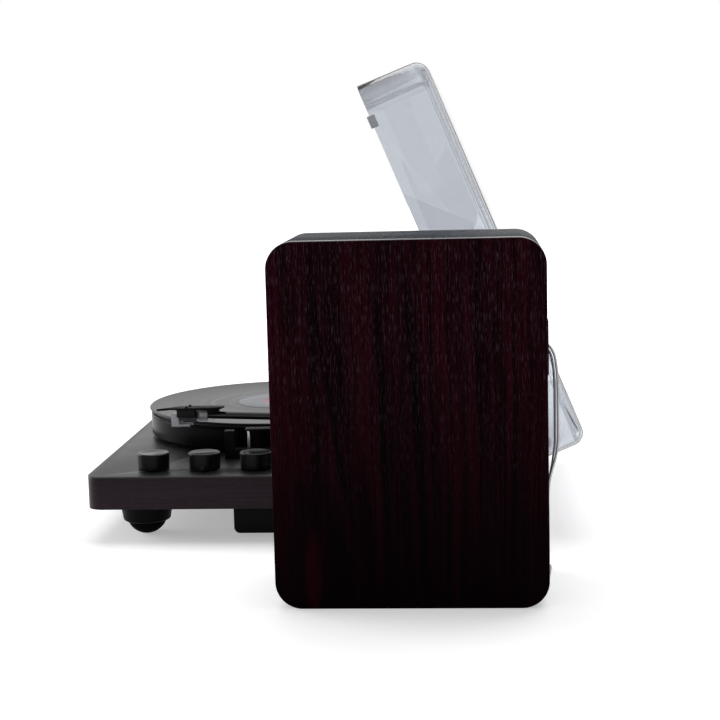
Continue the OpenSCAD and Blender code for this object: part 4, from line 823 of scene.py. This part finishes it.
def makeKnob(node, turned, spec):
    joint = next(j for j in frame["joints"] if j["child"] == bodyOf[node])
    at = Vector(joint["pos_m"])
    base = at.z / mm + spec["lift"]
    at.z = 0
    top, foot, flare = base + spec["height"], spec["foot"], spec["flare"]
    rim, cut, bore = flare - spec["rimIn"], spec["chamfer"], spec["bore"]
    outline = [(0, top - spec["dish"]), (rim - spec["slope"], top - spec["dishEdge"]),
               (rim, top), (flare - cut, top), (flare, top - cut),
               (flare - spec["tuck"], top - spec["shoulder"]),
               (foot + spec["skirtOut"], base + spec["skirt"]), (foot, base + spec["toe"]),
               (foot - spec["toe"], base), (bore, base), (bore, base + spec["skirt"]),
               (0, base + spec["skirt"])]
    made = lathe(node + "_cap", outline, at, bodyOf[node], "knob_black",
                 steps=spec["steps"], width=spec["edge"])
    size = Vector(spec["pointer"]) * mm
    bm = block(-size / 2, size / 2)
    where = (Matrix.Rotation(math.radians(turned), 4, "Z")
             @ Matrix.Translation(Vector((foot, 0, base)) * mm + Vector((0, 0, size.z / 2))))
    bmesh.ops.transform(bm, matrix=Matrix.Translation(at) @ where, verts=bm.verts)
    roundEdges(bm, spec["pointerEdge"] * mm, 3)
    piece(node + "_pointer", bm, bodyOf[node], "knob_black")
    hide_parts(node)


for knobNode, knobTurn in knobSet["turned"].items():
    makeKnob(knobNode, knobTurn, knobSet)
print("knobs made")

# tonearm: how far each kind of edge is rounded, in mm
armEdges = dict(base=0.6, fitting=0.25, turned=0.2, fine=0.1)

dress("tonearm_base", armEdges["base"], segments=3)
dress("arm_yoke arm_rest rest_clip cue_lift cue_lever stylus_carrier", armEdges["fitting"])
dress("cartridge", armEdges["fitting"], look="cartridge_black")
dress("arm_tube counterweight", armEdges["turned"], angle=40)
dress("headshell", armEdges["turned"], angle=40, look="black_moulding")
dress("rest_pin", armEdges["fine"], look="motor_can")
dress("cartridge_leads", armEdges["fine"])

# bright collar that locks the headshell, and the clips on the cartridge's pins
headSet = dict(
    yaw=3.3, rise=2.5, drop=4.5, offset=14, reach=190,
    collarFrom=184.9, collar=[(4.05, 0), (5.5, 0), (5.5, 8.2), (4.05, 8.2), (4.05, 0)],
    collarSteps=64, collarEdge=0.4, clipSteps=20, clipEdge=0.15,
    clipX=(-3.6, -1.2, 1.2, 3.6), clipFrom=-5.9, clipZ=-4.4,
    clip=[(0, 0), (0.95, 0), (0.95, 3.8), (0.6, 4.7), (0, 4.7)],
)


def makeHeadFittings(spec):
    pivot = Vector(jointOf["arm_swing"]["pos_m"])
    way = Vector(jointOf["counterweight_turn"]["axis"])
    lathe("headshell_collar", spec["collar"], pivot + way * spec["collarFrom"] * mm,
          bodyOf["headshell"], "collar_alloy", way, spec["collarSteps"], spec["collarEdge"])
    head = (Matrix.Translation(pivot) @ Matrix.Rotation(math.radians(spec["yaw"]), 4, "Z")
            @ Matrix.Rotation(math.radians(-spec["rise"]), 4, "X")
            @ Matrix.Translation((0, -spec["reach"] * mm, 0))
            @ Matrix.Rotation(math.radians(spec["drop"]), 4, "X")
            @ Matrix.Rotation(math.radians(-spec["offset"]), 4, "Z"))
    for i, x in enumerate(spec["clipX"]):
        foot = head @ (Vector((x, spec["clipFrom"], spec["clipZ"])) * mm)
        lathe("lead_clip_" + str(i + 1), spec["clip"], foot, bodyOf["cartridge_leads"],
              "collar_alloy", head.to_3x3() @ Vector((0, 1, 0)), spec["clipSteps"],
              spec["clipEdge"])


makeHeadFittings(headSet)
print("tonearm made")

# loudspeaker: two veneered sides with a lacquered wrap between them
speakerSet = dict(corner=23, cornerSteps=14, boardEdge=0.9, wrapEdge=0.5, driverEdge=0.2,
                  frameEdge=0.4, cupEdge=0.4, clothEdge=0.5)


def makeSide(node, spec):
    bm = block(*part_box(node))
    corners = [e for e in bm.edges if abs((e.verts[0].co - e.verts[1].co).x) > 1e-4]
    bmesh.ops.bevel(bm, geom=corners, offset=spec["corner"] * mm, offset_type="OFFSET",
                    affect="EDGES", segments=spec["cornerSteps"], profile=0.5, material=-1,
                    clamp_overlap=True)
    roundEdges(bm, spec["boardEdge"] * mm, 4, 60)
    made = piece(node + "_board", bm, "root", "panel_veneer")
    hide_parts(node)


def makeGrilleCloth(spec):
    low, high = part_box("grille_cloth")
    bm = block(low, high)
    roundEdges(bm, spec["clothEdge"] * mm, 3)
    cloth = piece("grille_cloth_sheet", bm, "root", "grille_fabric")
    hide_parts("grille_cloth")


makeSide("side_panel_inner", speakerSet)
makeSide("side_panel_outer", speakerSet)
dress("cabinet_wrap", speakerSet["wrapEdge"])
dress("baffle woofer_basket woofer_cone tweeter", speakerSet["driverEdge"], angle=45)
dress("grille_frame", speakerSet["frameEdge"])
dress("terminal_cup speaker_lever_1 speaker_lever_2", speakerSet["cupEdge"])
makeGrilleCloth(speakerSet)
print("loudspeaker made")

# studio: a pale glowing floor that fades to white, three soft lamps and a white world
stageSet = dict(
    reach=8,
    floor=(0.84, 0.84, 0.85), glow=0.36, farGlow=1.0, fadeFrom=0.75, fadeTo=2.2, world=0.42,
    lamps=[
        dict(name="overhead", at=(-0.4, 0.1, 2.2), aim=(0, 0, 0.1), size=(2.4, 1.6), power=34),
        dict(name="leftPanel", at=(-0.6, -2.2, 0.75), aim=(0, 0, 0.1), size=(1.3, 1.3), power=30),
        dict(name="backFill", at=(-1.8, 1.3, 1.9), aim=(0, 0, 0.15), size=(3.2, 2.2), power=18),
    ],
)


# one where the camera, a mirror or clear plastic looks at it
def seenDirectly(graph):
    rays = graph.node("ShaderNodeLightPath").socket.node.outputs
    camera, glossy, through = (Wire(graph, rays[kind]) for kind in (
        "Is Camera Ray", "Is Glossy Ray", "Is Transmission Ray"))
    return camera.maths("MAXIMUM", glossy).maths("MAXIMUM", through)


def makeFloor(spec):
    bm = bmesh.new()
    bmesh.ops.create_grid(bm, x_segments=1, y_segments=1, size=spec["reach"])
    mesh = bpy.data.meshes.new("floor")
    bm.to_mesh(mesh)
    bm.free()
    floor = bpy.data.objects.new("floor", mesh)
    scene.collection.objects.link(floor)
    f = Finish("floor_paper", baseColor=spec["floor"], roughness=0.9, specularLevel=0.0,
               emissionColor=(1, 1, 1))
    x, y = f.axes(f.place())[:2]
    far = ((x * x + y * y) ** 0.5).over(spec["fadeFrom"], spec["fadeTo"])
    glow = far * (spec["farGlow"] - spec["glow"]) + spec["glow"]
    f.feed(f.shader.inputs["Emission Strength"], glow * seenDirectly(f))
    mesh.materials.append(f.material)


def makeLamps(spec):
    for lamp in spec["lamps"]:
        data = bpy.data.lights.new(lamp["name"], "AREA")
        data.shape, data.energy = "RECTANGLE", lamp["power"]
        data.size, data.size_y = lamp["size"]
        made = bpy.data.objects.new(lamp["name"], data)
        made.location = lamp["at"]
        toward = Vector(lamp["aim"]) - Vector(lamp["at"])
        made.rotation_euler = toward.to_track_quat("-Z", "Y").to_euler()
        made.visible_transmission = False
        scene.collection.objects.link(made)


def makeWorld(spec):
    world = bpy.data.worlds.new("studio")
    scene.world = world
    world.use_nodes = True
    graph = Graph(world.node_tree)
    level = graph.node("ShaderNodeMapRange", None, {
        "Value": seenDirectly(graph), "To Min": spec["world"], "To Max": 1.0})
    back = graph.tree.nodes["Background"]
    graph.feed(back.inputs["Color"], (1, 1, 1))
    graph.feed(back.inputs["Strength"], level)


makeFloor(stageSet)
makeLamps(stageSet)
makeWorld(stageSet)
print("stage made")
